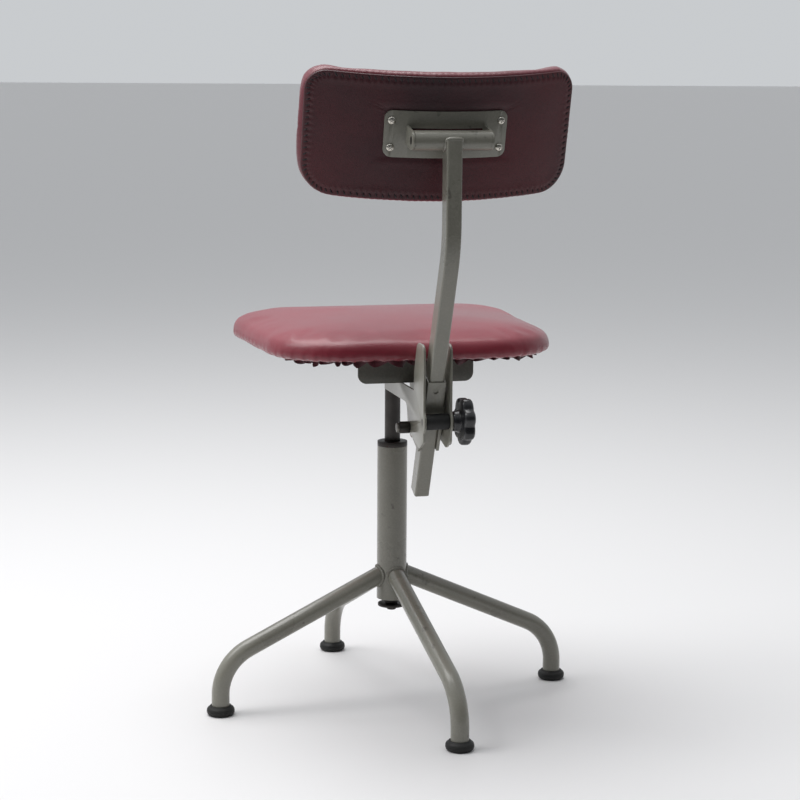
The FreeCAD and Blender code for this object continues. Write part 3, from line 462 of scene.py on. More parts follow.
finishes = {
    "greyPaint": enamel("greyPaint", {
        "dark": (0.178, 0.172, 0.142), "light": (0.225, 0.218, 0.182), "dust": (0.3, 0.29, 0.25),
        "bare": (0.06, 0.052, 0.045), "clouds": 7.0, "spots": 55.0, "chipped": 0.55,
        "rough": 0.25, "dulling": 0.14, "coat": 0.4,
    }),
    "darkPaint": enamel("darkPaint", {
        "dark": (0.06, 0.062, 0.05), "light": (0.095, 0.097, 0.08), "dust": (0.16, 0.155, 0.13),
        "bare": (0.03, 0.025, 0.02), "clouds": 14.0, "spots": 70.0, "chipped": 0.5,
        "rough": 0.38, "dulling": 0.15, "coat": 0.1,
    }),
    "darkSteel": plated("darkSteel", {
        "dark": (0.028, 0.026, 0.025), "light": (0.055, 0.05, 0.047), "stain": (0.05, 0.028, 0.018),
        "stained": 0.7, "metal": 0.7, "rough": 0.34, "stretch": (1, 1, 0.15), "bump": 0.25,
    }),
    "zincSteel": plated("zincSteel", {
        "dark": (0.11, 0.104, 0.095), "light": (0.21, 0.2, 0.183), "stain": (0.07, 0.04, 0.028),
        "stained": 0.6, "metal": 0.85, "rough": 0.32, "stretch": (1, 1, 1), "bump": 0.2,
    }),
    "nickel": plated("nickel", {
        "dark": (0.5, 0.48, 0.43), "light": (0.66, 0.63, 0.57), "stain": (0.2, 0.16, 0.11),
        "stained": 0.4, "metal": 1.0, "rough": 0.12, "stretch": (1, 1, 1), "bump": 0.1,
    }),
    "seatVinyl": hide("seatVinyl", {
        "dark": (0.20, 0.010, 0.024), "light": (0.27, 0.017, 0.036), "rub": (0.3, 0.05, 0.07), "rubbed": 0.3,
        "pit": (0.11, 0.008, 0.017), "pits": 0.35, "clouds": 5.0, "spots": 22.0, "cells": 900.0,
        "creases": 90.0, "rough": 0.33, "dulling": 0.12, "bump": 0.28, "coat": 0.35,
        "coatRough": 0.22, "sheen": 0.08, "specular": 0.5,
    }),
    "backVinyl": hide("backVinyl", {
        "dark": (0.13, 0.011, 0.021), "light": (0.19, 0.017, 0.033), "rub": (0.26, 0.05, 0.07), "rubbed": 0.3,
        "pit": (0.08, 0.007, 0.013), "pits": 0.35, "clouds": 7.0, "spots": 25.0, "cells": 900.0,
        "creases": 90.0, "rough": 0.33, "dulling": 0.12, "bump": 0.28, "coat": 0.3,
        "coatRough": 0.22, "sheen": 0.06, "specular": 0.5,
    }),
    "backLeather": hide("backLeather", {
        "dark": (0.028, 0.004, 0.009), "light": (0.1, 0.0095, 0.016), "rub": (0.14, 0.03, 0.035),
        "rubbed": 0.25, "pit": (0.016, 0.003, 0.005), "pits": 0.5, "clouds": 4.5, "spots": 16.0,
        "cells": 650.0, "creases": 70.0, "rough": 0.36, "dulling": 0.16, "bump": 0.35, "coat": 0.12,
        "coatRough": 0.3, "sheen": 0.03, "specular": 0.4,
    }),
    "hemCloth": hide("hemCloth", {
        "dark": (0.05, 0.006, 0.012), "light": (0.09, 0.009, 0.019), "rub": (0.14, 0.03, 0.04), "rubbed": 0.3,
        "pit": (0.03, 0.004, 0.008), "pits": 0.4, "clouds": 20.0, "spots": 60.0, "cells": 1100.0,
        "creases": 200.0, "rough": 0.5, "dulling": 0.2, "bump": 0.3, "coat": 0.05,
        "coatRough": 0.4, "sheen": 0.1, "specular": 0.4,
    }),
    "thread": moulded("thread", {
        "dark": (0.012, 0.009, 0.011), "light": (0.03, 0.022, 0.025), "dust": (0.09, 0.07, 0.07),
        "dusty": 0.3, "rough": 0.5, "texture": 900.0, "bump": 0.6, "coat": 0.1,
    }),
    "blackRubber": moulded("blackRubber", {
        "dark": (0.009, 0.009, 0.009), "light": (0.018, 0.018, 0.017), "dust": (0.07, 0.066, 0.06),
        "dusty": 0.4, "rough": 0.5, "texture": 500.0, "bump": 0.35, "coat": 0.0,
    }),
    "blackPlastic": moulded("blackPlastic", {
        "dark": (0.009, 0.009, 0.011), "light": (0.016, 0.016, 0.018), "dust": (0.08, 0.08, 0.08),
        "dusty": 0.3, "rough": 0.24, "texture": 260.0, "bump": 0.12, "coat": 0.45,
    }),
    "fibre": moulded("fibre", {
        "dark": (0.1, 0.03, 0.018), "light": (0.17, 0.055, 0.03), "dust": (0.2, 0.12, 0.08), "dusty": 0.4,
        "rough": 0.6, "texture": 900.0, "bump": 0.4, "coat": 0.0,
    }),
    "plywood": plywood("plywood", {
        "dark": (0.27, 0.15, 0.07), "light": (0.5, 0.33, 0.18), "pore": (0.13, 0.07, 0.03), "rough": 0.7,
    }),
}
slotFinishes = {
    "grey_paint": "greyPaint", "dark_paint": "darkPaint", "dark_steel": "darkSteel",
    "zinc_steel": "zincSteel", "nickel": "nickel", "black_rubber": "blackRubber",
    "black_plastic": "blackPlastic", "fibre": "fibre", "plywood": "plywood", "seat_vinyl": "seatVinyl",
    "hem_cloth": "hemCloth", "back_vinyl": "backVinyl", "back_leather": "backLeather",
}


def dressNodes():
    # Every carried-over node gets its finish.
    for part in frame["record"]["subparts"]:
        node = frame["nodes"][part["node"]]
        node.data.materials.clear()
        node.data.materials.append(finishes[slotFinishes[part["material_slot"]]])
    print("finishes made and put on the frame's nodes")


metalWork = {
    "seam": 1e-5,
    "flatAngle": 0.4,
    "sharpAngle": 32,
    # (node, piece, body, slot, width of its broken edges)
    "parts": (
        ("bracket_plate_left", "bracketPlateLeft", "seat", "grey_paint", 0.0007),
        ("bracket_plate_right", "bracketPlateRight", "seat", "grey_paint", 0.0007),
        ("seat_carrier", "seatCarrier", "seat", "dark_paint", 0.0008),
        ("arm_holder", "armHolder", "holder", "grey_paint", 0.0005),
        ("back_plate", "backPlate", "backrest", "grey_paint", 0.0007),
        ("pivot_bolt", "pivotBolt", "seat", "zinc_steel", 0.0009),
        ("pivot_boss", "pivotBoss", "seat", "dark_steel", 0.0008),
        ("stop_washer", "stopWasher", "lift", "dark_steel", 0.0005),
        ("stop_bolt", "stopBolt", "seat", "dark_steel", 0.0009),
        ("top_bush", "topBush", "base", "dark_steel", 0.0008),
        ("clamp_buffer", "clampBuffer", "seat", "black_rubber", 0.0012),
    ),
}


def breakEdges(node, name, body, slot, width):
    # A merged copy of a node with its sharp edges rounded over, as a file or a press leaves them.
    source = frame["nodes"][node]
    piece = bpy.data.objects.new(name, source.data.copy())
    bpy.context.scene.collection.objects.link(piece)
    pick(piece)
    bpy.ops.object.mode_set(mode="EDIT")
    bpy.ops.mesh.select_all(action="SELECT")
    bpy.ops.mesh.remove_doubles(threshold=metalWork["seam"])
    bpy.ops.mesh.dissolve_limited(angle_limit=math.radians(metalWork["flatAngle"]))
    bpy.ops.object.mode_set(mode="OBJECT")
    modify(piece, "BEVEL", width=width, segments=2, limit_method="ANGLE",
           angle_limit=math.radians(metalWork["sharpAngle"]), use_clamp_overlap=True, harden_normals=False)
    smooth(piece, 30)
    return finishPiece(piece, body, slot, node)


def makeMetalWork():
    for part in metalWork["parts"]:
        breakEdges(*part)
    print("pressed and turned metal rounded at its edges")


weldLook = {
    "thickness": 0.0026, "ripples": 46, "ripple": 0.0004, "segments": 184, "sides": 8,
    "legRadius": 0.0125, "slope": math.radians(24.5), "rootHeight": 0.189,
}
legSides = ("left", "rear", "right", "front")


def makeLegWelds():
    # A rippled bead where each leg meets the column.
    look = weldLook
    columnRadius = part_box("column_tube")[1].x
    legRadius, slope = look["legRadius"], look["slope"]
    for side in legSides:
        foot = middleOf(f"foot_cap_{side}")
        out = Vector((foot.x, foot.y, 0)).normalized()
        across = Vector((-out.y, out.x, 0))
        bpy.ops.mesh.primitive_torus_add(
            major_radius=legRadius, minor_radius=look["thickness"],
            major_segments=look["segments"], minor_segments=look["sides"],
        )
        bead = bpy.context.object
        for vertex in bead.data.vertices:
            angle = math.atan2(vertex.co.y, vertex.co.x)
            ring = Vector((math.cos(angle), math.sin(angle), 0)) * legRadius
            offset = vertex.co - ring
            ripple = 1 + look["ripple"] / look["thickness"] * math.sin(angle * look["ripples"])
            width = legRadius * math.cos(angle)
            reach = math.sqrt(columnRadius ** 2 - width ** 2)
            rise = legRadius * math.sin(angle) / math.cos(slope)
            level = look["rootHeight"] - reach * math.tan(slope) + rise
            spot = out * reach + across * width + Vector((0, 0, level))
            vertex.co = spot + (out * offset.z + across * offset.x + Vector((0, 0, offset.y))) * ripple
        settle(bead, f"legWeld{side.title()}")
        outwards(bead)
        smooth(bead, 80)
        finishPiece(bead, "base", "grey_paint")
    print("welds laid")


armWeld = {
    "side": 0.0019, "top": 0.0034, "sides": 10, "ripple": 0.05, "ripples": 34, "sideSteps": 18,
    "topSteps": 24, "startAngle": -88, "gap": 0.0003, "sink": 0.0004, "rise": (0.0006, 0.0012),
    "fullness": 0.3, "lean": 0.4,
}


def makeArmWeld():
    # One bead up one side of the arm, over its top and down the other, where the cross tube sits.
    look = armWeld
    centre = middleOf("cross_tube")
    radius = sizeOf("cross_tube").z / 2
    armHalf = sizeOf("back_arm").x / 2
    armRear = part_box("back_arm")[1].y
    path = []
    for step in range(look["sideSteps"] + 1):
        turn = math.radians(look["startAngle"] * (1 - step / look["sideSteps"]))
        path.append((armHalf + look["gap"], radius * math.cos(turn), radius * math.sin(turn), look["side"]))
    upSide = path[:]
    stand = (armRear - centre.y + radius) / 2 - look["sink"]
    for step in range(1, look["topSteps"]):
        share = step / look["topSteps"]
        full = math.sin(math.pi * share) ** look["fullness"]
        thick = look["side"] + (look["top"] - look["side"]) * full
        path.append((armHalf * (1 - 2 * share), stand, look["rise"][0] + look["rise"][1] * full, thick))
    path += [(-x, y, z, thick) for x, y, z, thick in reversed(upSide)]
    line = [centre + Vector((x, y, z)) for x, y, z, _thick in path]
    facing = []
    thickness = []
    for index, (spot, (_x, _y, _z, thick)) in enumerate(zip(line, path)):
        facing.append((spot - centre - Vector((look["lean"] * (spot.x - centre.x), 0, 0))).normalized())
        swell = 1 + look["ripple"] * math.sin(index / len(line) * math.tau * look["ripples"])
        ends = min(1.0, (min(index, len(line) - 1 - index) + 0.4) / 2)
        thickness.append(thick * swell * ends)
    spots = sweep(line, thickness, facing, look["sides"])
    bead = newPiece("armWeld", spots, ringFaces(len(line), look["sides"]))
    outwards(bead, 1e-7)
    smooth(bead, 80)
    finishPiece(bead, "arm", "grey_paint")
    print("arm welded to its cross tube")


footCap = {
    "profile": (
        (0.0, 0.0), (0.0150, 0.0), (0.0168, 0.0004), (0.0184, 0.0018), (0.0193, 0.0040), (0.0195, 0.0062),
        (0.0191, 0.0086), (0.0180, 0.0104), (0.0166, 0.0114), (0.0157, 0.0119), (0.0153, 0.0127),
        (0.0147, 0.0134), (0.0138, 0.0136), (0.0129, 0.0133), (0.01256, 0.0122), (0.01256, 0.0042),
        (0.0, 0.0042),
    ),
    "steps": 56,
}


def makeFootCaps():
    for side in legSides:
        node = f"foot_cap_{side}"
        spot = middleOf(node)
        name = f"footCap{side.title()}"
        cap = lathe(name, footCap["profile"], at=(spot.x, spot.y, 0), steps=footCap["steps"])
        finishPiece(cap, "base", "black_rubber", node)
    print("foot caps turned")


spindleLook = {
    "pitch": 0.005, "depth": 0.0016, "threadLength": 0.118, "chamfer": 0.0015, "steps": 40, "bore": 0.0041,
    # (0 at the root to 1 at the crest, share of the pitch)
    "tooth": ((0, 0.0), (0, 0.22), (1, 0.4), (1, 0.6), (0, 0.82), (0, 1.0)),
    "shoulder": 0.001, "roundSteps": 64,
}


def makeSpindle():
    # A plain bar above and a coarse round thread on the length that the nut works along.
    low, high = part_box("spindle")
    look = spindleLook
    radius, root, pitch = high.x, high.x - look["depth"], look["pitch"]
    tooth = [(radius if crest else root, share * pitch) for crest, share in look["tooth"]]
    thread = profilePiece("spindleThread", tooth)
    turns = int(look["threadLength"] / pitch)
    thread.location.z = low.z
    modify(thread, "SCREW", angle=math.tau, screw_offset=pitch, iterations=turns, steps=look["steps"],
           render_steps=look["steps"], axis="Z", use_merge_vertices=True, merge_threshold=1e-6)
    settle(thread)
    outwards(thread)
    smooth(thread, 45)
    top = low.z + turns * pitch
    barFoot = top - pitch
    shoulder, chamfer, bore = look["shoulder"], look["chamfer"], look["bore"]
    bar = lathe("spindleBar", (
        (0, barFoot), (root, barFoot), (root, top - shoulder), (radius, top + shoulder), (radius, high.z),
        (0, high.z),
    ), steps=look["roundSteps"])
    core = lathe("spindleCore", (
        (bore, low.z), (root - chamfer, low.z), (root, low.z + chamfer), (root, barFoot + shoulder),
        (bore, barFoot + shoulder),
    ), steps=look["roundSteps"])
    spindle = join([bar, core, thread], "spindleScrew")
    smooth(spindle, 45)
    finishPiece(spindle, "seat", "dark_steel", "spindle")
    print("spindle cut with its thread")


handKnob = {
    "lobes": 7, "valley": 0.0268, "steps": 126, "phase": 0.3, "roundness": 0.62,
    # the rim is plain up to one share of its radius and fully lobed a little further out
    "plainRim": 0.86, "lobesFrom": 0.45, "lobesOver": 0.35,
    # (depth in from the outer face, share of the lobed rim)
    "section": (
        (0.0030, 0.26), (0.0026, 0.34), (0.0012, 0.46), (0.0004, 0.58), (0.0, 0.72), (0.0004, 0.86),
        (0.0014, 0.93), (0.0030, 0.98), (0.0052, 1.0), (0.0105, 1.0), (0.0130, 0.985), (0.0146, 0.95),
        (0.0156, 0.89), (0.0160, 0.80), (0.0161, 0.58),
    ),
    # (depth in from the outer face, radius)
    "neck": (
        (0.0166, 0.0146), (0.0178, 0.0140), (0.0225, 0.0134), (0.0250, 0.0126), (0.0258, 0.0112),
        (0.0258, 0.0043),
    ),
    "insert": (
        (0.0, 0.0012), (0.0030, 0.0012), (0.0034, 0.0016), (0.0074, 0.0016), (0.0079, 0.0022),
        (0.0079, 0.0036), (0.0, 0.0036),
    ),
}


def makeStarKnob():
    low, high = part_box("star_knob")
    centre = middleOf("star_knob")
    look = handKnob
    count = look["steps"]
    peak = min(high.y - low.y, high.z - low.z) / 2
    even = peak * look["plainRim"]
    rows = []
    for depth, share in look["section"]:
        lobed = max(0.0, min(1.0, (share - look["lobesFrom"]) / look["lobesOver"]))
        row = []
        for step in range(count):
            angle = math.tau * step / count
            wave = ((1 + math.cos(look["lobes"] * (angle - look["phase"]))) / 2) ** look["roundness"]
            rim = look["valley"] + (peak - look["valley"]) * wave
            row.append((depth, share * (even + (rim - even) * lobed), angle))
        rows.append(row)
    for depth, radius in look["neck"]:
        rows.append([(depth, radius, math.tau * step / count) for step in range(count)])
    spots = [(low.x + depth, centre.y + r * math.cos(turn), centre.z + r * math.sin(turn))
             for row in rows for depth, r, turn in row]
    knob = newPiece("starKnob", spots, ringFaces(len(rows), count))
    outwards(knob)
    smooth(knob, 50)
    insert = lathe("knobInsert", look["insert"], axis="X", at=(low.x, centre.y, centre.z), steps=40)
    finishPiece(knob, "clamp_knob", "black_plastic", "star_knob")
    finishPiece(insert, "clamp_knob", "zinc_steel")
    print("star knob moulded")


wingNut = {
    "loop": 0.0066, "wire": 0.0021, "lean": 0.32, "angle": math.radians(-58), "reach": 0.0155,
    "outward": -0.0075, "stretch": (1.45, 0.95, 0.85),
    "hub": (
        (0.0041, 0.0), (0.0072, 0.0), (0.0076, 0.0012), (0.0070, 0.006), (0.0056, 0.0098), (0.0046, 0.0108),
        (0.0041, 0.0108),
    ),
}


def makeWingNut():
    # A hub with two pierced ears that lean outwards.
    look = wingNut
    centre = middleOf("wing_nut")
    face = Vector((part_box("wing_nut")[1].x, centre.y, centre.z))
    hub = lathe("wingHub", look["hub"], axis="-X", at=face, steps=40)
    long, wide, flat = look["stretch"]
    loops = []
    for way in (1, -1):
        direction = Vector((0, math.cos(look["angle"]), math.sin(look["angle"]))) * way
        bpy.ops.mesh.primitive_torus_add(
            major_radius=look["loop"], minor_radius=look["wire"], major_segments=36, minor_segments=12,
        )
        loop = bpy.context.object
        side = direction.cross(Vector((1, 0, 0)))
        middle = direction * look["reach"] + Vector((look["outward"], 0, 0))
        for vertex in loop.data.vertices:
            along = vertex.co.x * long
            outward = vertex.co.y * wide - look["lean"] * along
            vertex.co = middle + direction * along + Vector((1, 0, 0)) * outward + side * vertex.co.z * flat
        loop.data.transform(Matrix.Translation(face))
        outwards(loop)
        loops.append(loop)
    nut = join([hub, *loops], "wingNut")
    smooth(nut, 45)
    finishPiece(nut, "pivot_nut", "zinc_steel", "wing_nut")
    print("wing nut cast")


backLook = {
    "tilt": math.radians(15), "radius": 0.370, "offset": 0.025, "halfWidth": 0.180, "top": 0.078,
    "bottom": 0.091, "thickness": 0.030, "topCorner": 0.032, "bottomCorner": 0.042,
}
crossAxis = middleOf("cross_tube")


def backSpot(x, z, depth):
    # A spot on the backrest, from its place across and up and how far it lies in front of the rear face.
    look = backLook
    y = math.sqrt((look["radius"] - depth) ** 2 - x * x) - look["radius"] - look["offset"]
    return crossAxis + Matrix.Rotation(-look["tilt"], 3, "X") @ Vector((x, y, z))


def backNormal(x):
    swing = math.asin(x / backLook["radius"])
    return Matrix.Rotation(-backLook["tilt"], 3, "X") @ Vector((math.sin(swing), math.cos(swing), 0))


def backOutline(spacing):
    # (x, z, outward x, outward z) round the backrest's outline.
    look = backLook
    return roundedPath(
        look["halfWidth"], look["halfWidth"], -look["bottom"], look["top"], look["bottomCorner"],
        look["topCorner"], spacing,
    )


def puff(piece, look, pinned):
    # Remeshes a soft piece and swells it as a filled cover, then holds it near where it began.
    modify(piece, "REMESH", mode="VOXEL", voxel_size=look["voxel"])
    rest = [vertex.co.copy() for vertex in piece.data.vertices]
    hold = piece.vertex_groups.new(name="hold")
    hold.add([vertex.index for vertex in piece.data.vertices if pinned(vertex.co)], 1.0, "REPLACE")
    cloth = piece.modifiers.new("Cloth", "CLOTH")
    cloth.settings.quality = 5
    cloth.settings.mass = 0.4
    cloth.settings.tension_stiffness = look["tension"]
    cloth.settings.compression_stiffness = look["tension"]
    cloth.settings.bending_stiffness = look["bending"]
    cloth.settings.use_pressure = True
    cloth.settings.uniform_pressure_force = look["pressure"]
    cloth.settings.effector_weights.gravity = 0
    cloth.settings.vertex_group_mass = "hold"
    cloth.collision_settings.use_self_collision = False
    cloth.point_cache.frame_start = 1
    cloth.point_cache.frame_end = look["frames"]
    for step in range(1, look["frames"] + 1):
        bpy.context.scene.frame_set(step)
    evaluated = piece.evaluated_get(bpy.context.evaluated_depsgraph_get())
    swollen = [vertex.co.copy() for vertex in evaluated.data.vertices]
    piece.modifiers.remove(cloth)
    for vertex, start, end in zip(piece.data.vertices, rest, swollen):
        move = end - start
        if move.length > look["cap"]:
            move *= look["cap"] / move.length
        vertex.co = start + move
    bpy.context.scene.frame_set(1)
    modify(piece, "SMOOTH", factor=0.5, iterations=look["calm"])
    return piece


seatPad = {
    "halfFront": 0.2089, "halfRear": 0.1975, "frontCorner": 0.085, "rearCorner": 0.105,
    "voxel": 0.005, "pressure": 3.0, "tension": 14, "bending": 6.0, "frames": 20, "cap": 0.0020, "calm": 12,
    "creases": 0.0006, "pleat": 0.0006, "pleats": 70, "spacing": 0.006, "edgeWidth": 0.03,
    "pleatHeight": 0.018, "hold": 0.003, "bottomShare": 0.05, "inward": 0.0004,
    # (inset from the plan's outline, height over the underside), then (share of the last ring, height)
    "section": (
        (0.060, 0.0), (0.025, 0.0), (0.012, 0.0), (0.0062, 0.0002), (0.0030, 0.0014), (0.0009, 0.0042),
        (0.0, 0.0085), (0.0, 0.0150), (0.0006, 0.0200), (0.0028, 0.0246), (0.0068, 0.0283),
        (0.013, 0.0312), (0.022, 0.0338), (0.036, 0.0368), (0.055, 0.0396),
    ),
    "crown": ((0.82, 0.0422), (0.62, 0.0444), (0.42, 0.0458), (0.22, 0.0467), (0.04, 0.0470)),
}


def seatPath(spacing):
    # (x, y, outward x, outward y) round the cushion's outline.
    low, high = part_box("seat_cushion")
    look = seatPad
    return roundedPath(
        look["halfFront"], look["halfRear"], low.y, high.y, look["frontCorner"], look["rearCorner"], spacing,
    )


def makeSeatCushion():
    low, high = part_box("seat_cushion")
    look = seatPad
    path = seatPath(look["spacing"])
    rows = []
    for inset, height in look["section"]:
        rows.append([(x - outX * inset, y - outY * inset, low.z + height) for x, y, outX, outY in path])
    last = rows[-1]
    for share, height in look["crown"]:
        rows.append([(x * share, y * share, low.z + height) for x, y, _z in last])
    rows.insert(0, [(x * look["bottomShare"], y * look["bottomShare"], low.z) for x, y, _z in last])
    cushion = newPiece("seatCushion", [spot for row in rows for spot in row], ringFaces(len(rows), len(path)))
    outwards(cushion, 1e-6)
    puff(cushion, look, lambda spot: spot.z < low.z + look["hold"])
    fitBox(cushion, low, high)
    modify(cushion, "SUBSURF", levels=1, render_levels=1)
    edge = findNear(path)

    def drawn(spot, normal):
        # Small creases everywhere, and pleats where the cover is pulled under the board.
        _near, index, distance = edge.find((spot.x, spot.y, 0))
        atEdge = max(0.0, 1 - distance / look["edgeWidth"])
        lowDown = max(0.0, 1 - (spot.z - low.z) / look["pleatHeight"])
        swirl = noise.noise(spot * 30) * look["creases"] * (0.3 + atEdge)
        pleat = math.sin(index / len(path) * math.tau * look["pleats"] + 4 * noise.noise(spot * 9))
        pleated = pleat * look["pleat"] * lowDown * min(1.0, atEdge * 2)
        return spot + normal * (swirl + pleated - look["inward"])

    reshape(cushion, drawn)
    smooth(cushion, 180)
    finishPiece(cushion, "seat", "seat_vinyl", "seat_cushion")
    print("seat cushion filled")


hemLook = {
    "rows": 8, "gathers": 74, "fold": 0.0040, "drop": 0.0082, "thickness": 0.0009, "spacing": 0.0009,
    "seed": 11, "sideTuck": 0.021, "rearTuck": 0.0125, "sideHang": 0.55, "cover": 0.003, "leastHang": 0.0030,
    "sway": 0.0016,
}


def makeSeatHem():
    # The gathered edge of the cover hangs in small uneven folds under the seat, longest at the rear.
    look = hemLook
    rng = random.Random(look["seed"])
    path = seatPath(look["spacing"])
    count = len(path)
    gathers = []
    along = 0.0
    while along < 1:
        width = (1 / look["gathers"]) * rng.uniform(0.45, 1.6)
        length, sway, peak = rng.uniform(0.15, 1.0), rng.uniform(-1, 1), rng.uniform(0.25, 0.75)
        gathers.append((along, min(width, 1 - along), length, sway, peak))
        along += width
    spots = []
    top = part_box("seat_cushion")[0].z + look["cover"]
    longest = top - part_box("seat_hem")[0].z
    for row in range(look["rows"]):
        down = row / (look["rows"] - 1)
        gather = 0
        for n, (x, y, outX, outY) in enumerate(path):
            share = n / count
            while gather + 1 < len(gathers) and share >= gathers[gather + 1][0]:
                gather += 1
            start, width, length, sway, peak = gathers[gather]
            phase = min(1.0, (share - start) / width)
            bent = phase / peak * 0.5 if phase < peak else 0.5 + (phase - peak) / (1 - peak) * 0.5
            scallop = math.sin(math.pi * bent) ** 0.8
            rear = max(0.0, outY) ** 2
            tuck = look["sideTuck"] + (look["rearTuck"] - look["sideTuck"]) * rear
            hangs = look["sideHang"] + (1 - look["sideHang"]) * rear
            fold = math.sin(math.tau * bent + sway) * look["fold"] * down ** 1.2
            hang = min(longest, look["leastHang"] + look["drop"] * length * scallop * hangs)
            out = fold + look["sway"] * sway * down - tuck
            spots.append((x + outX * out, y + outY * out, top - hang * down))
    hem = newPiece("seatHem", spots, ringFaces(look["rows"], count, closed=False))
    outwards(hem, 1e-6)
    modify(hem, "SOLIDIFY", thickness=look["thickness"], offset=0, use_rim=True)
    smooth(hem, 60)
    finishPiece(hem, "seat", "hem_cloth", "seat_hem")
    print("hem gathered under the seat")


backPad = {
    "voxel": 0.004, "pressure": 3.0, "tension": 14, "bending": 6.0, "frames": 20, "cap": 0.003, "calm": 4,
    "creases": 0.0005, "spacing": 0.005, "pucker": 0.0010, "puckerWidth": 0.0023, "puckerDepth": 0.012,
    "rearDepth": 0.0016, "rear": (0.05, 0.35, 0.7), "leastDepth": 0.0006, "hold": 0.003,
    # (inset from the outline, depth in front of the rear face)
    "section": (
        (0.030, 0.0016), (0.012, 0.0014), (0.0060, 0.0010), (0.0036, 0.0009), (0.0018, 0.0016),
        (0.0007, 0.0030), (0.0002, 0.0052), (0.0, 0.0080), (0.0, 0.0190), (0.0010, 0.0238),
        (0.0038, 0.0272), (0.0090, 0.0291), (0.0180, 0.0298), (0.0300, 0.0300),
    ),
    "front": ((0.8, 0.0299), (0.6, 0.0300), (0.4, 0.0300), (0.2, 0.0300), (0.05, 0.0300)),
}


def makeBackPad():
    # Filled flat as a slab of (across, depth, up) and then bent to the sitter's back.
    look = backPad
    path = backOutline(look["spacing"])
    middle = (backLook["top"] - backLook["bottom"]) / 2

    def shrunk(row, share, depth):
        return [(x * share, depth, middle + (z - middle) * share) for x, _y, z in row]

    rows = []
    for inset, depth in look["section"]:
        rows.append([(x - outX * inset, depth, z - outZ * inset) for x, z, outX, outZ in path])
    rear = [shrunk(rows[0], share, look["rearDepth"]) for share in look["rear"]]
    front = [shrunk(rows[-1], share, depth) for share, depth in look["front"]]
    rows = rear + rows + front
    pad = newPiece("backPad", [spot for row in rows for spot in row], ringFaces(len(rows), len(path)))
    outwards(pad, 1e-6)
    puff(pad, look, lambda spot: spot.y < look["hold"])
    lowest = (-backLook["halfWidth"], look["leastDepth"], -backLook["bottom"])
    fitBox(pad, lowest, (backLook["halfWidth"], backLook["thickness"], backLook["top"]))
    modify(pad, "SUBSURF", levels=1, render_levels=1)
    pulls = findNear([(x, z) for x, z, _outX, _outZ in backOutline(coverLook["pitch"])])

    def drawn(spot, normal):
        _near, _index, distance = pulls.find((spot.x, spot.z, 0))
        pull = math.exp(-(distance / look["puckerWidth"]) ** 2) * max(0.0, 1 - spot.y / look["puckerDepth"])
        wander = noise.noise(spot * 40) * look["creases"] - look["creases"]
        return spot + normal * (wander - look["pucker"] * pull)

    reshape(pad, drawn)
    for vertex in pad.data.vertices:
        vertex.co = backSpot(vertex.co.x, vertex.co.z, vertex.co.y)
    outwards(pad, 1e-7)
    smooth(pad, 180)
    finishPiece(pad, "backrest", "back_vinyl", "back_pad")
    print("back pad filled")


coverLook = {
    "inset": 0.0045, "thickness": 0.0010, "stitchInset": 0.0114, "pitch": 0.0078, "spacing": 0.0016,
    "dimple": 0.0013, "dimpleWidth": 0.0027, "puff": 0.0008, "ripple": 0.0005, "rows": 16,
    "plateHalf": (0.0795, 0.030), "plateFade": 0.012, "plateSwell": 0.0006, "turnWidth": 0.0016,
    "puffPlace": 0.0082, "puffWidth": 0.004, "rippleScale": 24, "rippleFade": 0.02, "underside": 0.0014,
    "steps": (0.0008, 0.0016, 0.0026, 0.0038, 0.0052, 0.0066, 0.0082, 0.0100, 0.0125, 0.0160),
}


def makeBackCover():
    # The rear leather is thin, turned at its edge, drawn down at every stitch and pressed flat by the plate.
    look = coverLook
    base = backOutline(look["spacing"])
    middle = (backLook["top"] - backLook["bottom"]) / 2
    stitches = findNear([(x - outX * look["stitchInset"], z - outZ * look["stitchInset"])
                         for x, z, outX, outZ in backOutline(look["pitch"])])
    rim = findNear([(x - outX * look["inset"], z - outZ * look["inset"]) for x, z, outX, outZ in base])

    def lift(x, z):
        distance = stitches.find((x, z, 0))[2]
        toEdge = rim.find((x, z, 0))[2]
        dimple = look["dimple"] * math.exp(-(distance / look["dimpleWidth"]) ** 2)
        turned = look["thickness"] * math.sin(min(1.0, toEdge / look["turnWidth"]) * math.pi / 2) ** 0.5
        plump = look["puff"] * math.exp(-((toEdge - look["puffPlace"]) / look["puffWidth"]) ** 2)
        wave = noise.noise(Vector((x * look["rippleScale"], z * look["rippleScale"], 3.1)))
        slack = look["ripple"] * wave * min(1.0, toEdge / look["rippleFade"])
        overX = max(0.0, abs(x) - look["plateHalf"][0])
        overZ = max(0.0, abs(z) - look["plateHalf"][1])
        clear = min(1.0, math.hypot(overX, overZ) / look["plateFade"])
        swell = look["plateSwell"] * math.sin(math.pi * clear)
        return (turned + plump + slack) * clear * clear * (3 - 2 * clear) + swell - dimple

    rings = []
    for extra in (0.0, *look["steps"]):
        inset = look["inset"] + extra
        rings.append([(x - outX * inset, z - outZ * inset) for x, z, outX, outZ in base])
    last = rings[-1]
    for step in range(1, look["rows"] + 1):
        share = 1 - step / (look["rows"] + 0.3)
        rings.append([(x * share, middle + (z - middle) * share) for x, z in last])
    spots = [backSpot(x, z, look["underside"]) for x, z in rings[0]]
    spots += [backSpot(x, z, -lift(x, z)) for ring in rings for x, z in ring]
    cover = newPiece("backCover", spots, ringFaces(len(rings) + 1, len(base)))
    outwards(cover, 1e-6)
    smooth(cover, 70)
    finishPiece(cover, "backrest", "back_leather", "back_cover")
    makeStitches(lift)
    print("rear cover laid and stitched")


stitchLook = {
    "reach": 0.0050, "thread": 0.00078, "slant": 0.0012, "sides": 8, "steps": 9, "hump": 0.0010,
    "sink": 0.0004, "seed": 5,
}


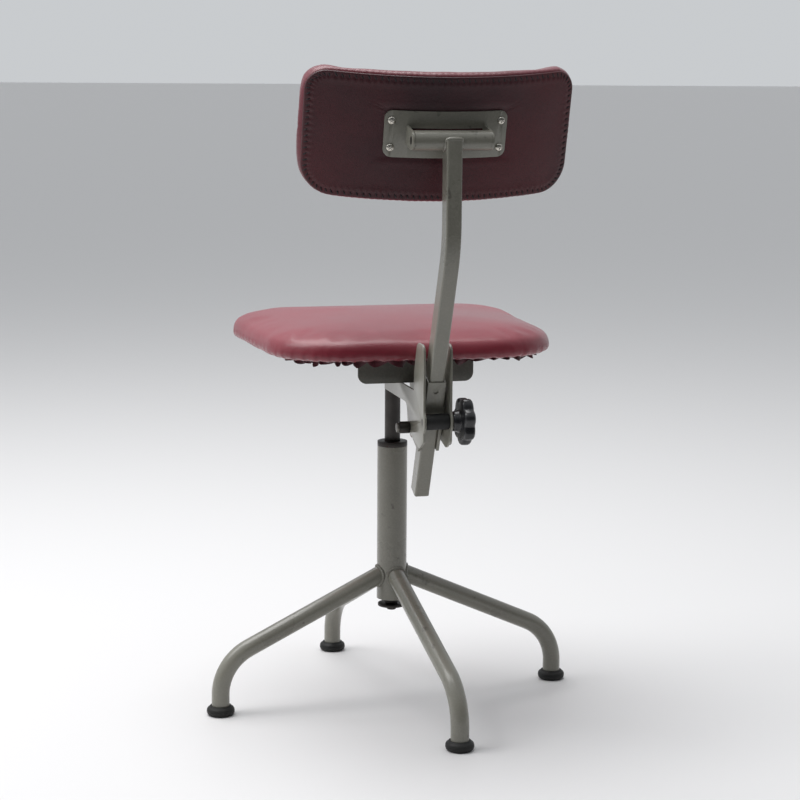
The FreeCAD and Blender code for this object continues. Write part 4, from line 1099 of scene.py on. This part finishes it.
def makeStitches(lift):
    # Short arched threads across the cover's border, just inside its edge.
    look = stitchLook
    spots, faces = [], []
    rng = random.Random(look["seed"])
    for x, z, outX, outZ in backOutline(coverLook["pitch"]):
        slant = look["slant"] * rng.uniform(0.5, 1.5)
        startInset = coverLook["stitchInset"] * rng.uniform(0.96, 1.04)
        start = (x - outX * startInset - outZ * slant, z - outZ * startInset + outX * slant)
        endInset = startInset - look["reach"] * rng.uniform(0.9, 1.1)
        end = (x - outX * endInset + outZ * slant, z - outZ * endInset - outX * slant)
        thick = look["thread"] * rng.uniform(0.85, 1.15)
        line = []
        for step in range(look["steps"]):
            share = step / (look["steps"] - 1)
            across = start[0] + (end[0] - start[0]) * share
            up = start[1] + (end[1] - start[1]) * share
            ground = lift(across, up)
            rise = ground * 0.5 + look["hump"] * math.sin(math.pi * (0.04 + 0.92 * share)) - look["sink"]
            line.append(backSpot(across, up, -rise))
        first = len(spots)
        spots += sweep(line, [thick] * len(line), [backNormal(x * 0.99)] * len(line), look["sides"])
        stitch = ringFaces(len(line), look["sides"])
        faces += [tuple(first + index for index in face) for face in stitch]
    thread = newPiece("backStitches", spots, faces)
    outwards(thread, 1e-7)
    smooth(thread, 60)
    finishPiece(thread, "backrest", "back_leather", finish="thread")


screwLook = {
    "radius": 0.0052, "height": 0.0032, "slot": 0.0011, "x": 0.071, "z": 0.0175, "sink": 0.0012,
    "plateRear": -0.003, "steps": 10, "roundness": 0.8, "slotReach": 1.15, "slotDepth": 2.2,
}


def makePlateScrews():
    # Raised round heads with a cross slot, on the back plate.
    look = screwLook
    heads = []
    for index, (side, level) in enumerate(((1, 1), (-1, 1), (1, -1), (-1, -1))):
        profile = [(0.0, -look["sink"]), (look["radius"], -look["sink"])]
        for step in range(look["steps"] + 1):
            angle = math.pi / 2 * step / look["steps"]
            out = look["radius"] * math.cos(angle) ** look["roundness"]
            profile.append((out, look["height"] * math.sin(angle)))
        profile[-1] = (0.0, look["height"])
        head = lathe("plateScrew", profile, steps=40)
        for quarter in (0, math.pi / 2):
            bpy.ops.mesh.primitive_cube_add(size=1, location=(0, 0, look["height"]), rotation=(0, 0, quarter))
            blade = bpy.context.object
            blade.scale = (look["radius"] * look["slotReach"], look["slot"], look["slot"] * look["slotDepth"])
            settle(blade)
            modify(head, "BOOLEAN", operation="DIFFERENCE", object=blade, solver="EXACT")
            bpy.data.objects.remove(blade)
        x = side * look["x"]
        spot = backSpot(x, level * look["z"], look["plateRear"])
        turn = Vector((0, 0, 1)).rotation_difference(backNormal(x)).to_matrix().to_4x4()
        spin = Matrix.Rotation(0.5 + index * 0.9, 4, "Z")
        head.data.transform(Matrix.Translation(spot) @ turn @ spin)
        heads.append(head)
    screws = join(heads, "plateScrews")
    smooth(screws, 40)
    finishPiece(screws, "backrest", "nickel", "plate_screws")
    print("plate screws driven")


studio = {
    "cameraSpot": (0.6853, 2.7483, 0.8837), "pitch": 9.064, "heading": 14.212, "roll": 0.36, "lens": 91.5,
    "floor": (0.76, 0.75, 0.75), "floorBehind": (0.14, 0.14, 0.14), "sky": (0.94, 0.97, 1.0),
    "skyFar": 0.62, "skyNear": 0.07, "floorSize": 400, "floorDrop": 0.0002, "shadeFrom": 1.0, "shadeTo": 2.2,
    "aim": (0, 0, 0.45), "sensor": 36,
    "lamps": (("topLight", (0.6, -0.5, 3.3), 2.6, 92), ("keyLight", (2.0, -0.2, 2.3), 1.2, 18)),
}


def makeStudio():
    bpy.ops.mesh.primitive_plane_add(size=studio["floorSize"], location=(0, 0, -studio["floorDrop"]))
    floor = bpy.context.object
    floor.name = "floor"
    material, tree, shader, coordinates = newFinish("floorBoard")
    # The board is white round the chair and falls into shade towards the viewer.
    split = tree.nodes.new("ShaderNodeSeparateXYZ")
    tree.links.new(coordinates, split.inputs[0])
    shade = addRange(tree, split.outputs["Y"], studio["shadeFrom"], studio["shadeTo"])
    tree.links.new(addMix(tree, shade, studio["floor"], studio["floorBehind"]), shader.inputs["Base Color"])
    setInputs(shader, {"Roughness": 0.55})
    floor.data.materials.append(material)

    world = bpy.data.worlds.new("studio")
    bpy.context.scene.world = world
    world.use_nodes = True
    room = world.node_tree
    sky = room.nodes["Background"]
    setInputs(sky, {"Color": (*studio["sky"], 1)})
    way = room.nodes.new("ShaderNodeSeparateXYZ")
    room.links.new(room.nodes.new("ShaderNodeTexCoord").outputs["Generated"], way.inputs[0])
    behind = addMath(room, "SUBTRACT", way.outputs["Y"], way.outputs["Z"])
    glow = addRange(room, behind, -0.5, 0.6, studio["skyFar"], studio["skyNear"])
    room.links.new(glow, sky.inputs["Strength"])
    for name, spot, size, power in studio["lamps"]:
        light = bpy.data.lights.new(name, "AREA")
        light.size = size
        light.energy = power
        lamp = bpy.data.objects.new(name, light)
        lamp.location = spot
        lamp.rotation_euler = (Vector(studio["aim"]) - Vector(spot)).to_track_quat("-Z", "Y").to_euler()
        bpy.context.scene.collection.objects.link(lamp)

    lens = bpy.data.cameras.new("camera")
    lens.lens = studio["lens"]
    lens.sensor_width = studio["sensor"]
    camera = bpy.data.objects.new("camera", lens)
    camera.location = studio["cameraSpot"]
    camera.rotation_euler = (Matrix.Rotation(math.radians(180 - studio["heading"]), 3, "Z")
                             @ Matrix.Rotation(math.radians(90 - studio["pitch"]), 3, "X")
                             @ Matrix.Rotation(math.radians(studio["roll"]), 3, "Z")).to_euler()
    bpy.context.scene.collection.objects.link(camera)
    bpy.context.scene.camera = camera
    bpy.context.scene.view_settings.view_transform = "Standard"
    print("studio lit")


clearPick()
makeStudio()
dressNodes()
makeMetalWork()
makeLegWelds()
makeArmWeld()
makeFootCaps()
makeSpindle()
makeStarKnob()
makeWingNut()
makeSeatCushion()
makeSeatHem()
makeBackPad()
makeBackCover()
makePlateScrews()
